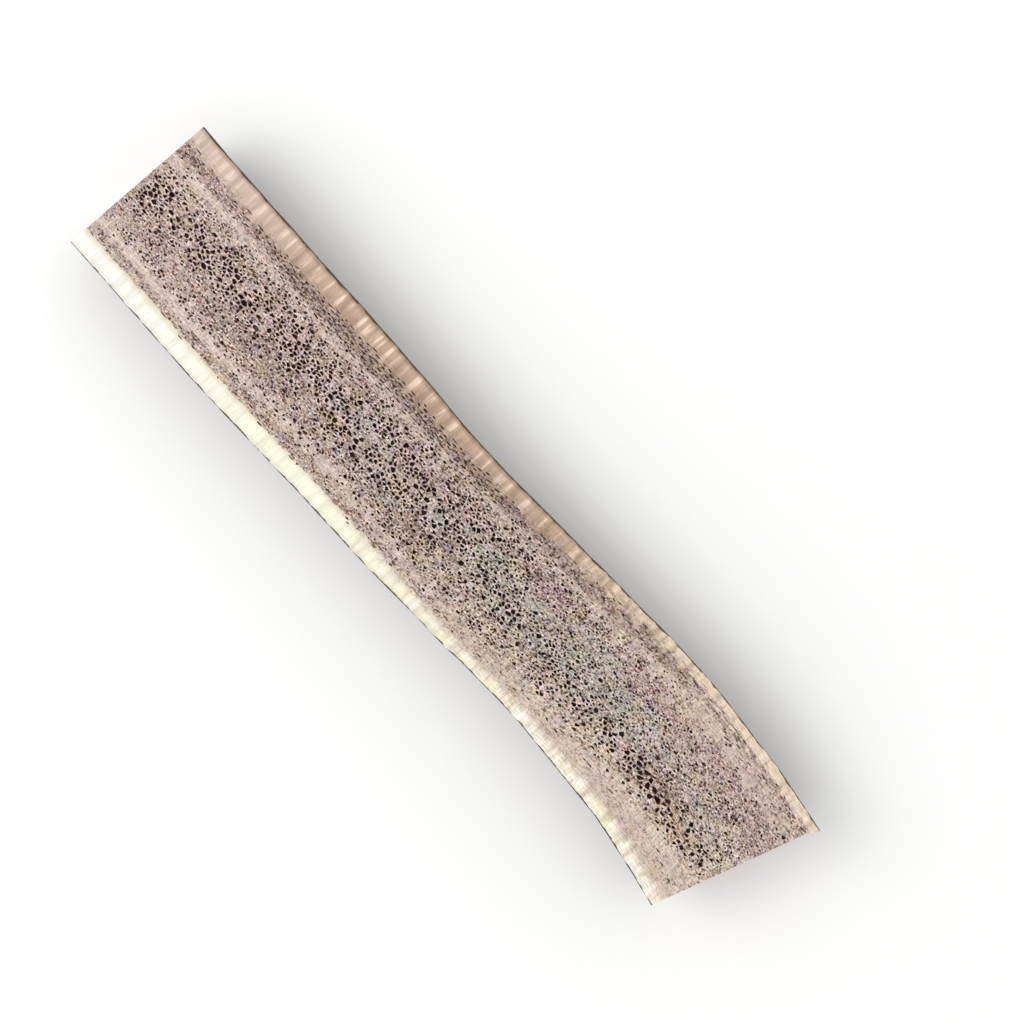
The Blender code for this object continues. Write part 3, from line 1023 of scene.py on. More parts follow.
@dataclass(kw_only=True)
class EndPores(PorePlan):
    """Pores of a cut end, seen along the beam: round cells inside a ring of compact bone.

    Attributes:
        ring: The end's outline, in order, in flat lengths.
        thickness: Thickness of the compact bone at the flat low side and the high side.
        margin: Least bone between a pore and the bark.
        top_margin: Least bone between a pore and the sawn face.
    """

    ring: Array
    thickness: Pair
    stretch: float = 1.0
    rim_space: float = 1.25
    core_space: float = 0.82
    tries: int = 16000
    margin: float = 0.45 * MM
    top_margin: float = 0.4 * MM

    def edge(self, flat: Array) -> Array:
        """How far flat points are from the bark."""
        bark = self.ring[self.ring[:, 1] < -0.2 * MM]
        gaps = flat[:, None, :] - bark[None, ::2, :]
        return np.sqrt((gaps**2).sum(-1)).min(1)

    def core(self, flat: Array) -> Array:
        """How far inside the spongy core flat points are; below 0 in the compact bone."""
        across = (flat[:, 0] - self.ring[:, 0].min()) / np.ptp(self.ring[:, 0])
        first, last = self.thickness
        return self.edge(flat) - (first + (last - first) * smooth_step(0.1, 0.9, across))

    def inside(self, flat: Array) -> Array:
        """Which flat points are far enough inside the cut's outline."""
        following = np.roll(self.ring, -1, axis=0)
        x, y = flat[:, :1], flat[:, 1:]
        spans = (self.ring[None, :, 1] > y) != (following[None, :, 1] > y)
        rise = following[:, 1] - self.ring[:, 1]
        rise = np.where(np.abs(rise) < LEAST_RISE, LEAST_RISE, rise)
        run = following[:, 0] - self.ring[:, 0]
        cross = self.ring[:, 0] + (y - self.ring[:, 1]) * run / rise
        within = ((spans & (x < cross)).sum(1) % 2) == 1
        return within & (self.edge(flat) > self.margin) & (flat[:, 1] < -self.top_margin)

    def spacing(self, flat: Array) -> Array:
        """How far apart the cells' middles are, at flat points."""
        core = self.core(flat)
        middle = self.core_space + 0.3 * smooth_step(0.0, 5.0 * MM, core)
        return np.where(core < 0.0, self.rim_space, middle) * MM

    def openness(self, flat: Array) -> Array:
        """How likely a cell is to be open, at flat points."""
        core = self.core(flat)
        return np.where(core < 0.2 * MM, 0.0, 0.35 + 0.55 * smooth_step(0.0, 4.0 * MM, core))

    def mouth_share(self, flat: Array) -> tuple[Array, Array]:
        """How much of its cell a mouth fills, along and across."""
        share = 0.5 + 0.24 * smooth_step(0.0, 5.0 * MM, self.core(flat))
        return share, share

    def make(self) -> tuple[list[Pore], Array]:
        """Lay out the whole end.

        Returns:
            The pores, and single points between them.
        """
        draw = random.Random(self.seed)
        low, high = self.ring.min(0), self.ring.max(0)
        points, spaces = self.scatter(low, high, np.zeros((0, 2)), np.zeros(0))
        chances = self.openness(points)
        shares = self.mouth_share(points)[0]
        pores, loose = [], []
        for index, cell in enumerate(self.cells(points)):
            lot, size_lot, tone_lot = draw.random(), draw.random(), draw.random()
            share = shares[index] * (0.78 + 0.4 * size_lot)
            pore = None
            if lot < chances[index]:
                pore = self.cell_pore(cell, points[index], (share, share), spaces[index], draw)
            if pore is None or not self.inside(pore.mouth).all():
                loose.append(points[index])
                continue
            pores.append(Pore(pore.mouth, pore.steps, 0.55 + 0.45 * tone_lot, draw.random()))
        LOG.info("cut end: %d pores", len(pores))
        return pores, np.array(loose)


@dataclass(frozen=True)
class CutFace:
    """A flat cut, triangulated round its pores.

    Attributes:
        plane: The plane of the cut.
        ring_ids: The outline's points in the mesh, against the clock.
        ring: The same points, flat.
        plan: The pores' plan, which also tells core from compact bone.
        beam: The beam, for the straightened lengths.
        bulge: How much the outline is bowed while it is triangulated, so that its straight
            sides make no flat triangles.
    """

    plane: CutPlane
    ring_ids: Array
    ring: Array
    plan: PorePlan
    beam: Beam
    bulge: float = 0.001

    @staticmethod
    def follows(order: Array) -> Array:
        """Whether three places on a ring come in the ring's own order, row by row."""
        a, b, c = order.T
        return ((a < b) & (b < c)) | ((b < c) & (c < a)) | ((c < a) & (a < b))

    def web(self, pores: list[Pore], loose: Array) -> tuple[Array, Array]:
        """Triangulate the bone between the pores.

        Args:
            pores: The pores.
            loose: Single points between them.

        Returns:
            The flat points (outline, then mouths, then single points), and the triangles.
        """
        blocks = [self.ring, *(pore.mouth for pore in pores)]
        owner = np.concatenate([np.full(len(b), i) for i, b in enumerate(blocks)])
        turn = np.concatenate([np.arange(len(block)) for block in blocks])
        starts = np.cumsum([0, *(len(block) for block in blocks)])
        edges = []
        for start, block in zip(starts, blocks):
            edges += [(start + i, start + (i + 1) % len(block)) for i in range(len(block))]
        flat = np.concatenate([*blocks, loose])
        owner = np.concatenate((owner, np.full(len(loose), -1)))
        turn = np.concatenate((turn, np.zeros(len(loose), int)))
        low, high = self.ring.min(0), self.ring.max(0)
        half = 0.5 * (high - low)
        offset = (flat - 0.5 * (low + high)) / half
        bulged = offset * (1.0 + self.bulge * (1.0 - offset[:, ::-1] ** 2)) * half / MM
        scaled = [Vector(point) for point in bulged.tolist()]
        result = delaunay_2d_cdt(scaled, edges, [], 0, MERGE_DISTANCE, True)
        if len(result[0]) != len(flat):
            raise ValueError(f"mouths touch: {len(result[0]) - len(flat)} points too many")
        source = np.array([ids[0] for ids in result[3]])
        triangles = source[np.array(result[2])]
        a, b, c = (bulged[triangles[:, i]] for i in range(3))
        b, c = b - a, c - a
        area = b[:, 0] * c[:, 1] - b[:, 1] * c[:, 0]
        triangles[area < 0] = triangles[area < 0][:, ::-1]
        owners = owner[triangles]
        alone = (owners[:, 0] == owners[:, 1]) & (owners[:, 1] == owners[:, 2])
        follows = self.follows(turn[triangles])
        in_pore = alone & (owners[:, 0] > 0) & follows
        outside = alone & (owners[:, 0] == 0) & ~follows
        return flat, triangles[~in_pore & ~outside]

    def add_to(self, store: MeshStore, strip: BakeStrip) -> None:
        """Add the cut to the mesh.

        Args:
            store: The mesh.
            strip: The cut's place on the bake sheet.
        """
        pores, loose = self.plan.make()
        flat, triangles = self.web(pores, loose)
        marks = [(pore.tone, pore.mouth_highlight) for pore in pores for _ in pore.mouth]
        tones, mouth_highlights = np.array(marks + [(0.0, 0.0)] * len(loose)).T
        start = len(self.ring)
        new_ids = self.add_points(store, flat[start:], 0.0, 0.0, tones, mouth_highlights)
        ids = np.concatenate((self.ring_ids, new_ids))
        faces, spots = [ids[triangles]], [(ids, flat)]
        for pore in pores:
            count = len(pore.mouth)
            self.add_pit(store, pore, ids[start:start + count], faces, spots)
            start += count
        triangles = np.concatenate(faces)
        table = np.zeros((store.count, 2))
        for some_ids, places in spots:
            table[some_ids] = places
        low, high = self.ring.min(0), self.ring.max(0)
        shares = (table[triangles] - low) / (high - low)
        store.add_triangles(triangles, Surface.SAWN, strip.lay(shares[..., 0], shares[..., 1]))

    def add_pit(
        self, store: MeshStore, pore: Pore, upper: Array, faces: list[Array],
        spots: list[tuple[Array, Array]],
    ) -> None:
        """Add the walls and the floor of a pore.

        Args:
            store: The mesh.
            pore: The pore.
            upper: Its mouth's points in the mesh.
            faces: Takes up the new triangles.
            spots: Takes up the new points and their flat places.
        """
        middle = pore.mouth.mean(0)
        for level, (share, depth) in enumerate(pore.steps):
            ring = middle + (pore.mouth - middle) * share if share else middle[None]
            done = (level + 1) / len(pore.steps)
            lower = self.add_points(store, ring, depth, done, pore.tone, pore.mouth_highlight)
            spots.append((lower, ring))
            beside = np.roll(upper, -1)
            if not share:
                faces.append(np.column_stack((upper, beside, np.repeat(lower, len(upper)))))
                return
            below = np.roll(lower, -1)
            faces.append(np.column_stack((upper, beside, below)))
            faces.append(np.column_stack((upper, below, lower)))
            upper = lower
        hub = np.full(len(upper) - 2, upper[0])
        faces.append(np.column_stack((hub, upper[1:-1], upper[2:])))

    def add_points(
        self, store: MeshStore, flat: Array, depth: float, inner: float,
        tone: Array | float, mouth_highlight: Array | float,
    ) -> Array:
        """Add points of the cut or inside a pore, with their values."""
        points = self.plane.place(flat, depth)
        middle = self.beam.form.at(points[:, 0])[0]
        grown = np.column_stack((points[:, 0], points[:, 1] - middle, points[:, 2])) / MM
        return store.add_points(
            points, grown, core=self.plan.core(flat) / MM, edge=self.plan.edge(flat) / MM,
            pore=inner, tone=tone, mouth_highlight=mouth_highlight, strip=self.plan.in_strips(flat),
        )


@dataclass
class SplitAntler:
    """The split antler: bark, sawn face and two cut ends, as one closed mesh.

    Attributes:
        beam: Its form.
        relief: Its bark.
        columns: How many steps the bark has along the beam.
        rows: How many steps it has round the beam.
        end_step: Spacing of the points where the sawn face meets an end.
        line_seed: Seed of the unevenness of these points.
        outline_steps: How many steps the sawn face's two edges are read in.
        pore_seed: Seed of the ends' pores.
        bark_strip: Place of the bark on the bake sheet.
        face_strip: Place of the sawn face.
        end_strips: Places of the square end and the slanted end.
        ids: The bark's points in the mesh, by column and row.
        grid: Where these points are.
    """

    beam: Beam = Beam()
    relief: BarkRelief = BarkRelief()
    columns: int = 240
    rows: int = 84
    end_step: float = 0.45 * MM
    line_seed: int = 31
    outline_steps: int = 600
    pore_seed: int = 40
    bark_strip: BakeStrip = BakeStrip((0.004, 0.120), (0.996, 0.548))
    face_strip: BakeStrip = BakeStrip((0.004, 0.556), (0.996, 0.996))
    end_strips: tuple[BakeStrip, BakeStrip] = (
        BakeStrip((0.004, 0.004), (0.490, 0.112)), BakeStrip((0.510, 0.004), (0.996, 0.112)),
    )
    ids: Array = field(init=False)
    grid: Array = field(init=False)

    def bark_points(self) -> tuple[Array, Array, Array]:
        """Work out the bark's grid.

        Returns:
            Points by column and row, how deep in a furrow each is, and their distance along
            as a share.
        """
        beam = self.beam
        share, angle = np.meshgrid(
            np.linspace(0.0, 1.0, self.columns + 1),
            np.linspace(0.0, math.pi, self.rows + 1), indexing="ij",
        )
        cosine, sine = np.cos(angle), np.maximum(np.sin(angle), 0.0)
        power = 2.0 / beam.fullness
        wide = np.sign(cosine) * np.abs(cosine) ** power
        deep = -np.abs(sine) ** power
        along = share * beam.slanted_end
        for _ in range(3):
            middle, half_width, depth = beam.form.at(along)
            side = middle + half_width * wide
            start, end = beam.end_at(End.SQUARE, side), beam.end_at(End.SLANTED, side)
            along = start + share * (end - start)
        crest = np.stack((along, side, depth * deep), axis=-1).reshape(-1, 3)
        outward = np.stack((np.zeros_like(cosine), cosine, -sine), axis=-1).reshape(-1, 3)
        below_edge = np.minimum(1.0, sine / self.relief.edge_calm).ravel()
        calm = self.relief.edge_share + (1.0 - self.relief.edge_share) * below_edge
        coarse, groove = self.relief.coarse(crest)
        points = crest - outward * (coarse * calm)[:, None]
        points[:, 2] = np.maximum(points[:, 2], -beam.rest_depth)
        fine, crease = self.relief.fine(crest)
        points -= outward * (fine * calm)[:, None]
        shape = (self.columns + 1, self.rows + 1)
        points = points.reshape(*shape, 3)
        points[:, (0, -1), 2] = 0.0
        last = points[-1]
        last[:, 0] = beam.end_at(End.SLANTED, last[:, 1]) + beam.splinter(last[:, 1], last[:, 2])
        points[0, :, 0] = beam.end_at(End.SQUARE, points[0, :, 1])
        return points, np.maximum(groove, 0.7 * crease).reshape(shape), share

    def add_bark(self, store: MeshStore) -> None:
        """Add the bark."""
        self.grid, groove, share = self.bark_points()
        points = self.grid.reshape(-1, 3)
        grown = points.copy()
        grown[:, 1] -= self.beam.form.at(points[:, 0])[0]
        ids = store.add_points(
            points, grown / MM, core=-4.0, edge=0.0, groove=groove.ravel()
        ).reshape(groove.shape)
        a, b = ids[:-1, :-1].ravel(), ids[1:, :-1].ravel()
        c, d = ids[1:, 1:].ravel(), ids[:-1, 1:].ravel()
        triangles = np.concatenate((np.column_stack((a, b, c)), np.column_stack((a, c, d))))
        up = np.broadcast_to(np.linspace(0.0, 1.0, self.rows + 1), share.shape)
        sheet = self.bark_strip.lay(share, up).reshape(-1, 2)
        store.add_triangles(triangles, Surface.BARK, sheet[triangles])
        self.ids = ids

    def end_line(self, store: MeshStore, end: End) -> tuple[Array, Array]:
        """Add the line where the sawn face meets a cut end.

        Args:
            store: The mesh.
            end: Which end.

        Returns:
            The new points' indices and places, from the -Y side to the +Y side.
        """
        column = self.grid[0 if end is End.SQUARE else -1]
        low, high = column[-1, 1], column[0, 1]
        count = int((high - low) / self.end_step)
        draw = random.Random(self.line_seed + end.value)
        side = np.array([
            low + (high - low) * (i + 1 + draw.uniform(-0.25, 0.25)) / (count + 1)
            for i in range(count)
        ])
        along = self.beam.end_at(end, side)
        if end is End.SLANTED:
            along = along + self.beam.splinter(side, np.zeros(count))
        points = np.column_stack((along, side, np.zeros(count)))
        middle = self.beam.form.at(along)[0]
        grown = np.column_stack((along, side - middle, points[:, 2])) / MM
        core_low, core_high = self.beam.core_edges(along)
        core = np.minimum(side - core_low, core_high - side)
        edge = np.minimum(side - low, high - side)
        strip = self.beam.in_strips(along, side)
        ids = store.add_points(points, grown, core=core / MM, edge=edge / MM, strip=strip)
        return ids, points

    def build(self, materials: list[Material]) -> bpy.types.Object:
        """Put the whole mesh together.

        Args:
            materials: One a surface, in the order of the surfaces' values.

        Returns:
            The finished piece.
        """
        store = MeshStore()
        self.add_bark(store)
        lines = {end: self.end_line(store, end) for end in End}
        self.add_sawn_face(store, lines)
        for end, strip in zip(End, self.end_strips):
            self.add_end(store, end, lines[end], strip)
        return store.build("antler_half", materials)

    def add_sawn_face(
        self, store: MeshStore, lines: dict[End, tuple[Array, Array]]
    ) -> None:
        """Add the sawn face between the bark's two upper edges.

        Args:
            store: The mesh.
            lines: The points where it meets the two ends, and their places.
        """
        ids, grid = self.ids, self.grid
        slanted_ids, slanted = lines[End.SLANTED]
        square_ids, square = lines[End.SQUARE]
        ring_ids = np.concatenate((ids[:, -1], slanted_ids, ids[::-1, 0], square_ids[::-1]))
        ring = np.concatenate((grid[:, -1], slanted, grid[::-1, 0], square[::-1]))[:, :2]
        along = np.linspace(ring[:, 0].min(), ring[:, 0].max(), self.outline_steps)
        low, high = (np.interp(along, grid[:, row, 0], grid[:, row, 1]) for row in (-1, 0))
        plan = SawnFacePores(beam=self.beam, outline=(along, low, high))
        plane = CutPlane(Vector((0, 0, 0)), Vector((1, 0, 0)), Vector((0, 1, 0)))
        CutFace(plane, ring_ids, ring, plan, self.beam).add_to(store, self.face_strip)

    def add_end(
        self, store: MeshStore, end: End, line: tuple[Array, Array], strip: BakeStrip
    ) -> None:
        """Add a cut end.

        Args:
            store: The mesh.
            end: Which end.
            line: The points where it meets the sawn face, and their places.
            strip: Its place on the bake sheet.
        """
        way = -1 if end is End.SLANTED else 1
        column = -1 if end is End.SLANTED else 0
        ring_ids = np.concatenate((line[0][::way], self.ids[column, ::way]))
        points = np.concatenate((line[1][::way], self.grid[column, ::way]))
        slant = -self.beam.slant(end)
        right = end.value * Vector((-math.sin(slant), math.cos(slant), 0.0))
        start = float(self.beam.end_at(end, 0.0))
        origin = Vector((start, 0.0, 0.0))
        ring = np.column_stack(((points - np.array(origin)) @ np.array(right), points[:, 2]))
        upper, lower = (float(value) for value in self.beam.rim.at(start))
        plan = EndPores(
            ring=ring, seed=self.pore_seed + end.value, thickness=(upper, lower)[::way]
        )
        plane = CutPlane(origin, right, Vector((0, 0, 1)))
        CutFace(plane, ring_ids, ring, plan, self.beam).add_to(store, strip)


class NodeSheet:
    """Adds nodes to a node tree; each method returns the output that it makes."""

    def __init__(self, tree: NodeTree) -> None:
        """Remember the tree."""
        self.tree = tree

    def feed(self, socket: Socket, value: object) -> None:
        """Link an output to an input, or set the input to a fixed value."""
        if isinstance(value, Socket):
            self.tree.links.new(value, socket)
        else:
            socket.default_value = value

    def node(self, kind: str, inputs: dict[str | int, object], **settings: object) -> Node:
        """Add a node.

        Args:
            kind: The node's type.
            inputs: Values or outputs for its inputs, by name or number.
            settings: Its other settings.

        Returns:
            The node.
        """
        made = self.tree.nodes.new(kind)
        for name, value in settings.items():
            setattr(made, name, value)
        for name, value in inputs.items():
            self.feed(made.inputs[name], value)
        return made

    def math(self, operation: str, a: object, b: object, clamp: bool = False) -> Socket:
        """Work out one number from two."""
        made = self.node("ShaderNodeMath", {0: a, 1: b}, operation=operation, use_clamp=clamp)
        return made.outputs[0]

    def plus(self, first: object, *others: object) -> Socket:
        """Add numbers, one after the other."""
        for other in others:
            first = self.math("ADD", first, other)
        return first

    def minus(self, a: object, b: object) -> Socket:
        """Subtract one number from another."""
        return self.math("SUBTRACT", a, b)

    def times(self, first: object, *others: object) -> Socket:
        """Multiply numbers, one after the other."""
        for other in others:
            first = self.math("MULTIPLY", first, other)
        return first

    def remap(
        self, value: object, low: float, high: float, to_low: float = 0.0, to_high: float = 1.0
    ) -> Socket:
        """Bring a value smoothly from one range to another; low may be the larger."""
        ends = {"From Min": low, "From Max": high, "To Min": to_low, "To Max": to_high}
        made = self.node(
            "ShaderNodeMapRange", {"Value": value, **ends}, interpolation_type="SMOOTHSTEP"
        )
        return made.outputs["Result"]

    def mix(self, share: object, a: object, b: object, blend: str = "MIX") -> Socket:
        """Mix two colours."""
        made = self.node(
            "ShaderNodeMix", {}, data_type="RGBA", blend_type=blend, clamp_factor=True
        )
        for number, value in ((0, share), (6, a), (7, b)):
            self.feed(made.inputs[number], value)
        return made.outputs[2]

    def fade(self, colour: object, other: object, value: object, *ends: float) -> Socket:
        """Turn a colour into another one where a value changes, as remap does."""
        return self.mix(self.remap(value, *ends), colour, other)

    def tint(self, colour: object, by: object, share: object = 1.0) -> Socket:
        """Multiply a colour with another one."""
        return self.mix(share, colour, by, "MULTIPLY")

    def xyz(self, x: object, y: object, z: object) -> Socket:
        """Make a vector of three numbers."""
        return self.node("ShaderNodeCombineXYZ", {"X": x, "Y": y, "Z": z}).outputs[0]

    def vectors(self, operation: str, *values: object) -> Socket:
        """Work out one vector from two or three."""
        made = self.node("ShaderNodeVectorMath", dict(enumerate(values)), operation=operation)
        return made.outputs[0]

    def sized(self, place: object, size: Sizes) -> Socket:
        """Divide a place by a size, so that a texture has that size."""
        return self.vectors("MULTIPLY", place, tuple(1.0 / length for length in size))

    def noise(self, place: object, detail: float = 2.0, output: str = "Fac") -> Socket:
        """Noise of size 1, from 0 to 1."""
        inputs = {"Vector": place, "Scale": 1.0, "Detail": detail}
        return self.node("ShaderNodeTexNoise", inputs).outputs[output]

    def tints(self, place: object, spread: Sizes) -> Socket:
        """Uneven tints round white; spread is how much red, green and blue vary."""
        low = tuple(1.0 - 0.5 * value for value in spread)
        return self.vectors("MULTIPLY_ADD", self.noise(place, 3.0, "Color"), spread, low)


class SharedEffects:
    """Node groups that both finishes use, each made once."""

    def __init__(self) -> None:
        """Make the groups."""
        self.streaks_tree = self.make_streaks()
        self.grit_tree = self.make_grit()

    @staticmethod
    def new_group(
        name: str, inputs: dict[str, float | None], outputs: tuple[str, ...]
    ) -> tuple[NodeSheet, dict[str, Socket], dict[str, Socket]]:
        """Start a node group.

        Args:
            name: The group's name.
            inputs: The default of each input, by name; the one without a default is a vector.
            outputs: Name of each output, all plain numbers.

        Returns:
            A sheet on the group, what comes in and what goes out, by name.
        """
        tree = bpy.data.node_groups.new(name, "ShaderNodeTree")
        for label, default in inputs.items():
            kind = "NodeSocketVector" if default is None else "NodeSocketFloat"
            socket = tree.interface.new_socket(name=label, in_out="INPUT", socket_type=kind)
            if default is not None:
                socket.default_value = default
        for label in outputs:
            tree.interface.new_socket(name=label, in_out="OUTPUT", socket_type="NodeSocketFloat")
        sheet = NodeSheet(tree)
        given, result = sheet.node("NodeGroupInput", {}), sheet.node("NodeGroupOutput", {})
        return (
            sheet, {label: given.outputs[label] for label in inputs},
            {label: result.inputs[label] for label in outputs},
        )

    def make_streaks(self) -> NodeTree:
        """Soft streaks of a given length and width, from 0 to 1."""
        sheet, given, result = self.new_group(
            "streaks", {"Place": None, "Length": 10.0, "Width": 1.0, "Contrast": 2.0}, ("Mask",)
        )
        size = sheet.xyz(given["Length"], given["Width"], given["Width"])
        plain = sheet.minus(sheet.noise(sheet.vectors("DIVIDE", given["Place"], size), 3.0), 0.5)
        strong = sheet.times(plain, given["Contrast"])
        sheet.feed(result["Mask"], sheet.math("ADD", strong, 0.5, clamp=True))
        return sheet.tree

    def make_grit(self) -> NodeTree:
        """Grains and specks of a given size: a mask of specks, and a height."""
        sheet, given, result = self.new_group(
            "grit", {"Place": None, "Size": 0.4, "Amount": 0.5}, ("Specks", "Height")
        )
        size = sheet.xyz(sheet.times(given["Size"], 1.5), given["Size"], given["Size"])
        place = sheet.vectors("DIVIDE", given["Place"], size)
        distance = sheet.node(
            "ShaderNodeTexVoronoi", {"Vector": place, "Scale": 1.0}
        ).outputs["Distance"]
        patch = sheet.noise(sheet.sized(place, (3.0, 3.0, 3.0)), 1.0)
        reach = sheet.times(given["Amount"], sheet.plus(patch, 0.3))
        near = sheet.minus(reach, distance)
        sheet.feed(result["Specks"], sheet.math("MULTIPLY", near, 8.0, clamp=True))
        sheet.feed(result["Height"], distance)
        return sheet.tree


class MaterialSheet(NodeSheet):
    """A node sheet on a new material.

    Attributes:
        material: The material.
        shader: Its shader.
        shared: The shared node groups.
    """

    def __init__(self, name: str, shared: SharedEffects | None = None) -> None:
        """Make the material.

        Args:
            name: The material's name.
            shared: The shared node groups, where the material uses them.
        """
        self.material = bpy.data.materials.new(name)
        self.material.use_nodes = True
        super().__init__(self.material.node_tree)
        self.shader = self.tree.nodes["Principled BSDF"]
        self.shared = shared

    def read(self, name: str, output: str = "Fac") -> Socket:
        """Read a value of the mesh."""
        return self.node("ShaderNodeAttribute", {}, attribute_name=name).outputs[output]

    def group(self, tree: NodeTree, **inputs: object) -> Node:
        """Place a node group."""
        named = {name.capitalize(): value for name, value in inputs.items()}
        return self.node("ShaderNodeGroup", named, node_tree=tree)

    def streaks(self, place: Socket, length: float, width: float, contrast: float) -> Socket:
        """Soft streaks from 0 to 1, of a length and a width in millimetres."""
        tree = self.shared.streaks_tree
        made = self.group(tree, place=place, length=length, width=width, contrast=contrast)
        return made.outputs["Mask"]

    def grit(self, place: Socket, size: float, amount: float) -> tuple[Socket, Socket]:
        """Specks and a height, of grains of a size in millimetres."""
        made = self.group(self.shared.grit_tree, place=place, size=size, amount=amount)
        return made.outputs["Specks"], made.outputs["Height"]

    def bump(self, height: Socket, strength: float, distance: float) -> None:
        """Lay fine relief over the surface; the distance is in metres."""
        inputs = {"Strength": strength, "Distance": distance, "Height": height}
        relief = self.node("ShaderNodeBump", inputs).outputs["Normal"]
        self.feed(self.shader.inputs["Normal"], relief)

    def dress(self, colour: object, roughness: object, specular: float) -> Material:
        """Set what the surface looks like, and return the material."""
        self.feed(self.shader.inputs["Base Color"], colour)
        self.feed(self.shader.inputs["Roughness"], roughness)
        self.shader.inputs["Specular IOR Level"].default_value = specular
        return self.material


@dataclass(frozen=True)
class BarkFinish:
    """Brown bark: dark furrows and cracks, rubbed tan crests, olive and red-brown patches.

    Attributes:
        deep: Colour of the furrows and cracks.
        brown: The main colour.
        tan: Colour of the rubbed crests.
        olive: Green-grey patches.
    """

    deep: Colour = shade(48, 28, 11)
    brown: Colour = shade(118, 88, 53)
    tan: Colour = shade(178, 148, 106)
    olive: Colour = shade(108, 99, 62)

    def make(self, shared: SharedEffects) -> Material:
        """Make the material.

        Args:
            shared: The shared node groups.

        Returns:
            The material.
        """
        sheet = MaterialSheet("antler_bark", shared)
        grown, groove = sheet.read("grown", "Vector"), sheet.read("groove")
        ridges, flecks = sheet.streaks(grown, 20.0, 1.6, 3.4), sheet.streaks(grown, 1.7, 0.42, 4.2)
        cracks, patches = sheet.streaks(grown, 3.0, 0.62, 4.4), sheet.streaks(grown, 22.0, 9.0, 3.6)
        specks, grains = sheet.grit(grown, 0.42, 0.5)
        colour = sheet.fade(self.deep, self.brown, ridges, 0.0, 0.6)
        crest = sheet.times(ridges, sheet.remap(groove, 0.45, 0.0))
        rubbed = sheet.times(sheet.remap(flecks, 0.45, 0.95), crest, 0.8)
        colour = sheet.mix(rubbed, colour, self.tan)
        worn = sheet.times(sheet.remap(patches, 0.45, 0.05, 0.0, 0.4), crest)
        colour = sheet.mix(worn, colour, self.tan)
        colour = sheet.fade(colour, self.olive, patches, 0.62, 0.95, 0.0, 0.4)
        tints = sheet.tints(sheet.sized(grown, (7.0, 3.0, 3.0)), (0.45, 0.1, 0.3))
        colour = sheet.tint(colour, tints)
        colour = sheet.fade(colour, self.deep, groove, 0.25, 0.95, 0.0, 0.85)
        colour = sheet.fade(colour, self.deep, cracks, 0.34, 0.04, 0.0, 0.8)
        colour = sheet.mix(sheet.times(specks, 0.4), colour, self.deep)
        height = sheet.plus(
            flecks, sheet.times(ridges, 0.8), sheet.times(cracks, 1.2), sheet.times(grains, 0.35)
        )
        sheet.bump(height, 0.8, 0.16 * MM)
        return sheet.dress(colour, sheet.remap(groove, 0.0, 0.6, 0.62, 0.85), 0.16)


@dataclass(frozen=True)
class Stain:
    """A soft patch of another colour in the core, in straightened lengths.

    Attributes:
        colour: Its colour.
        along: Where its middle lies along the beam, in millimetres.
        across: The same, to the side.
        length: How far it reaches along the beam, in millimetres.
        width: The same, to the side.
        strength: How much of the colour shows in its middle.
    """

    colour: Colour
    along: float
    across: float
    length: float
    width: float
    strength: float


class SawnSheet(MaterialSheet):
    """The sawn bone's sheet, with the values and patterns that its colours are made from.

    Attributes:
        grown: Straightened place, in millimetres.
        along: The place along the beam.
        across: The place across it, from its middle line.
        core: How far inside the core it is, in millimetres; below 0 in the compact bone.
        edge: How far from the bark, in millimetres.
        mouth_highlight: How strong the painted highlight round a pore's mouth is.
        strip: How far into the pale strips it is.
        bands: Saw marks across the beam.
        wander: Unevenness of the borders.
        tints_wide: Patches of uneven tint.
        specks: Dark specks.
        grains: Distance from the middle of the specks.
    """

    def __init__(self, name: str, shared: SharedEffects) -> None:
        """Make the material and read the values.

        Args:
            name: The material's name.
            shared: The shared node groups.
        """
        super().__init__(name, shared)
        self.grown = self.read("grown", "Vector")
        split = self.node("ShaderNodeSeparateXYZ", {"Vector": self.grown})
        self.along, self.across = split.outputs["X"], split.outputs["Y"]
        self.core, self.edge = self.read("core"), self.read("edge")
        self.mouth_highlight, self.strip = self.read("mouth_highlight"), self.read("strip")
        self.bands = self.streaks(self.grown, 1.5, 16.0, 3.2)
        self.wander = self.noise(self.sized(self.grown, (2.2, 0.7, 0.7)), 3.0)
        self.tints_wide = self.tints(self.sized(self.grown, (2.4, 3.0, 3.0)), (0.26, 0.04, 0.55))
        self.specks, self.grains = self.grit(self.grown, 0.40, 0.52)

    def lengthwise(self, *ends: float) -> Socket:
        """Change smoothly along the beam, as remap does."""
        return self.remap(self.along, *ends)

    def sideways(self, *ends: float) -> Socket:
        """Change smoothly across the beam, as remap does."""
        return self.remap(self.across, *ends)


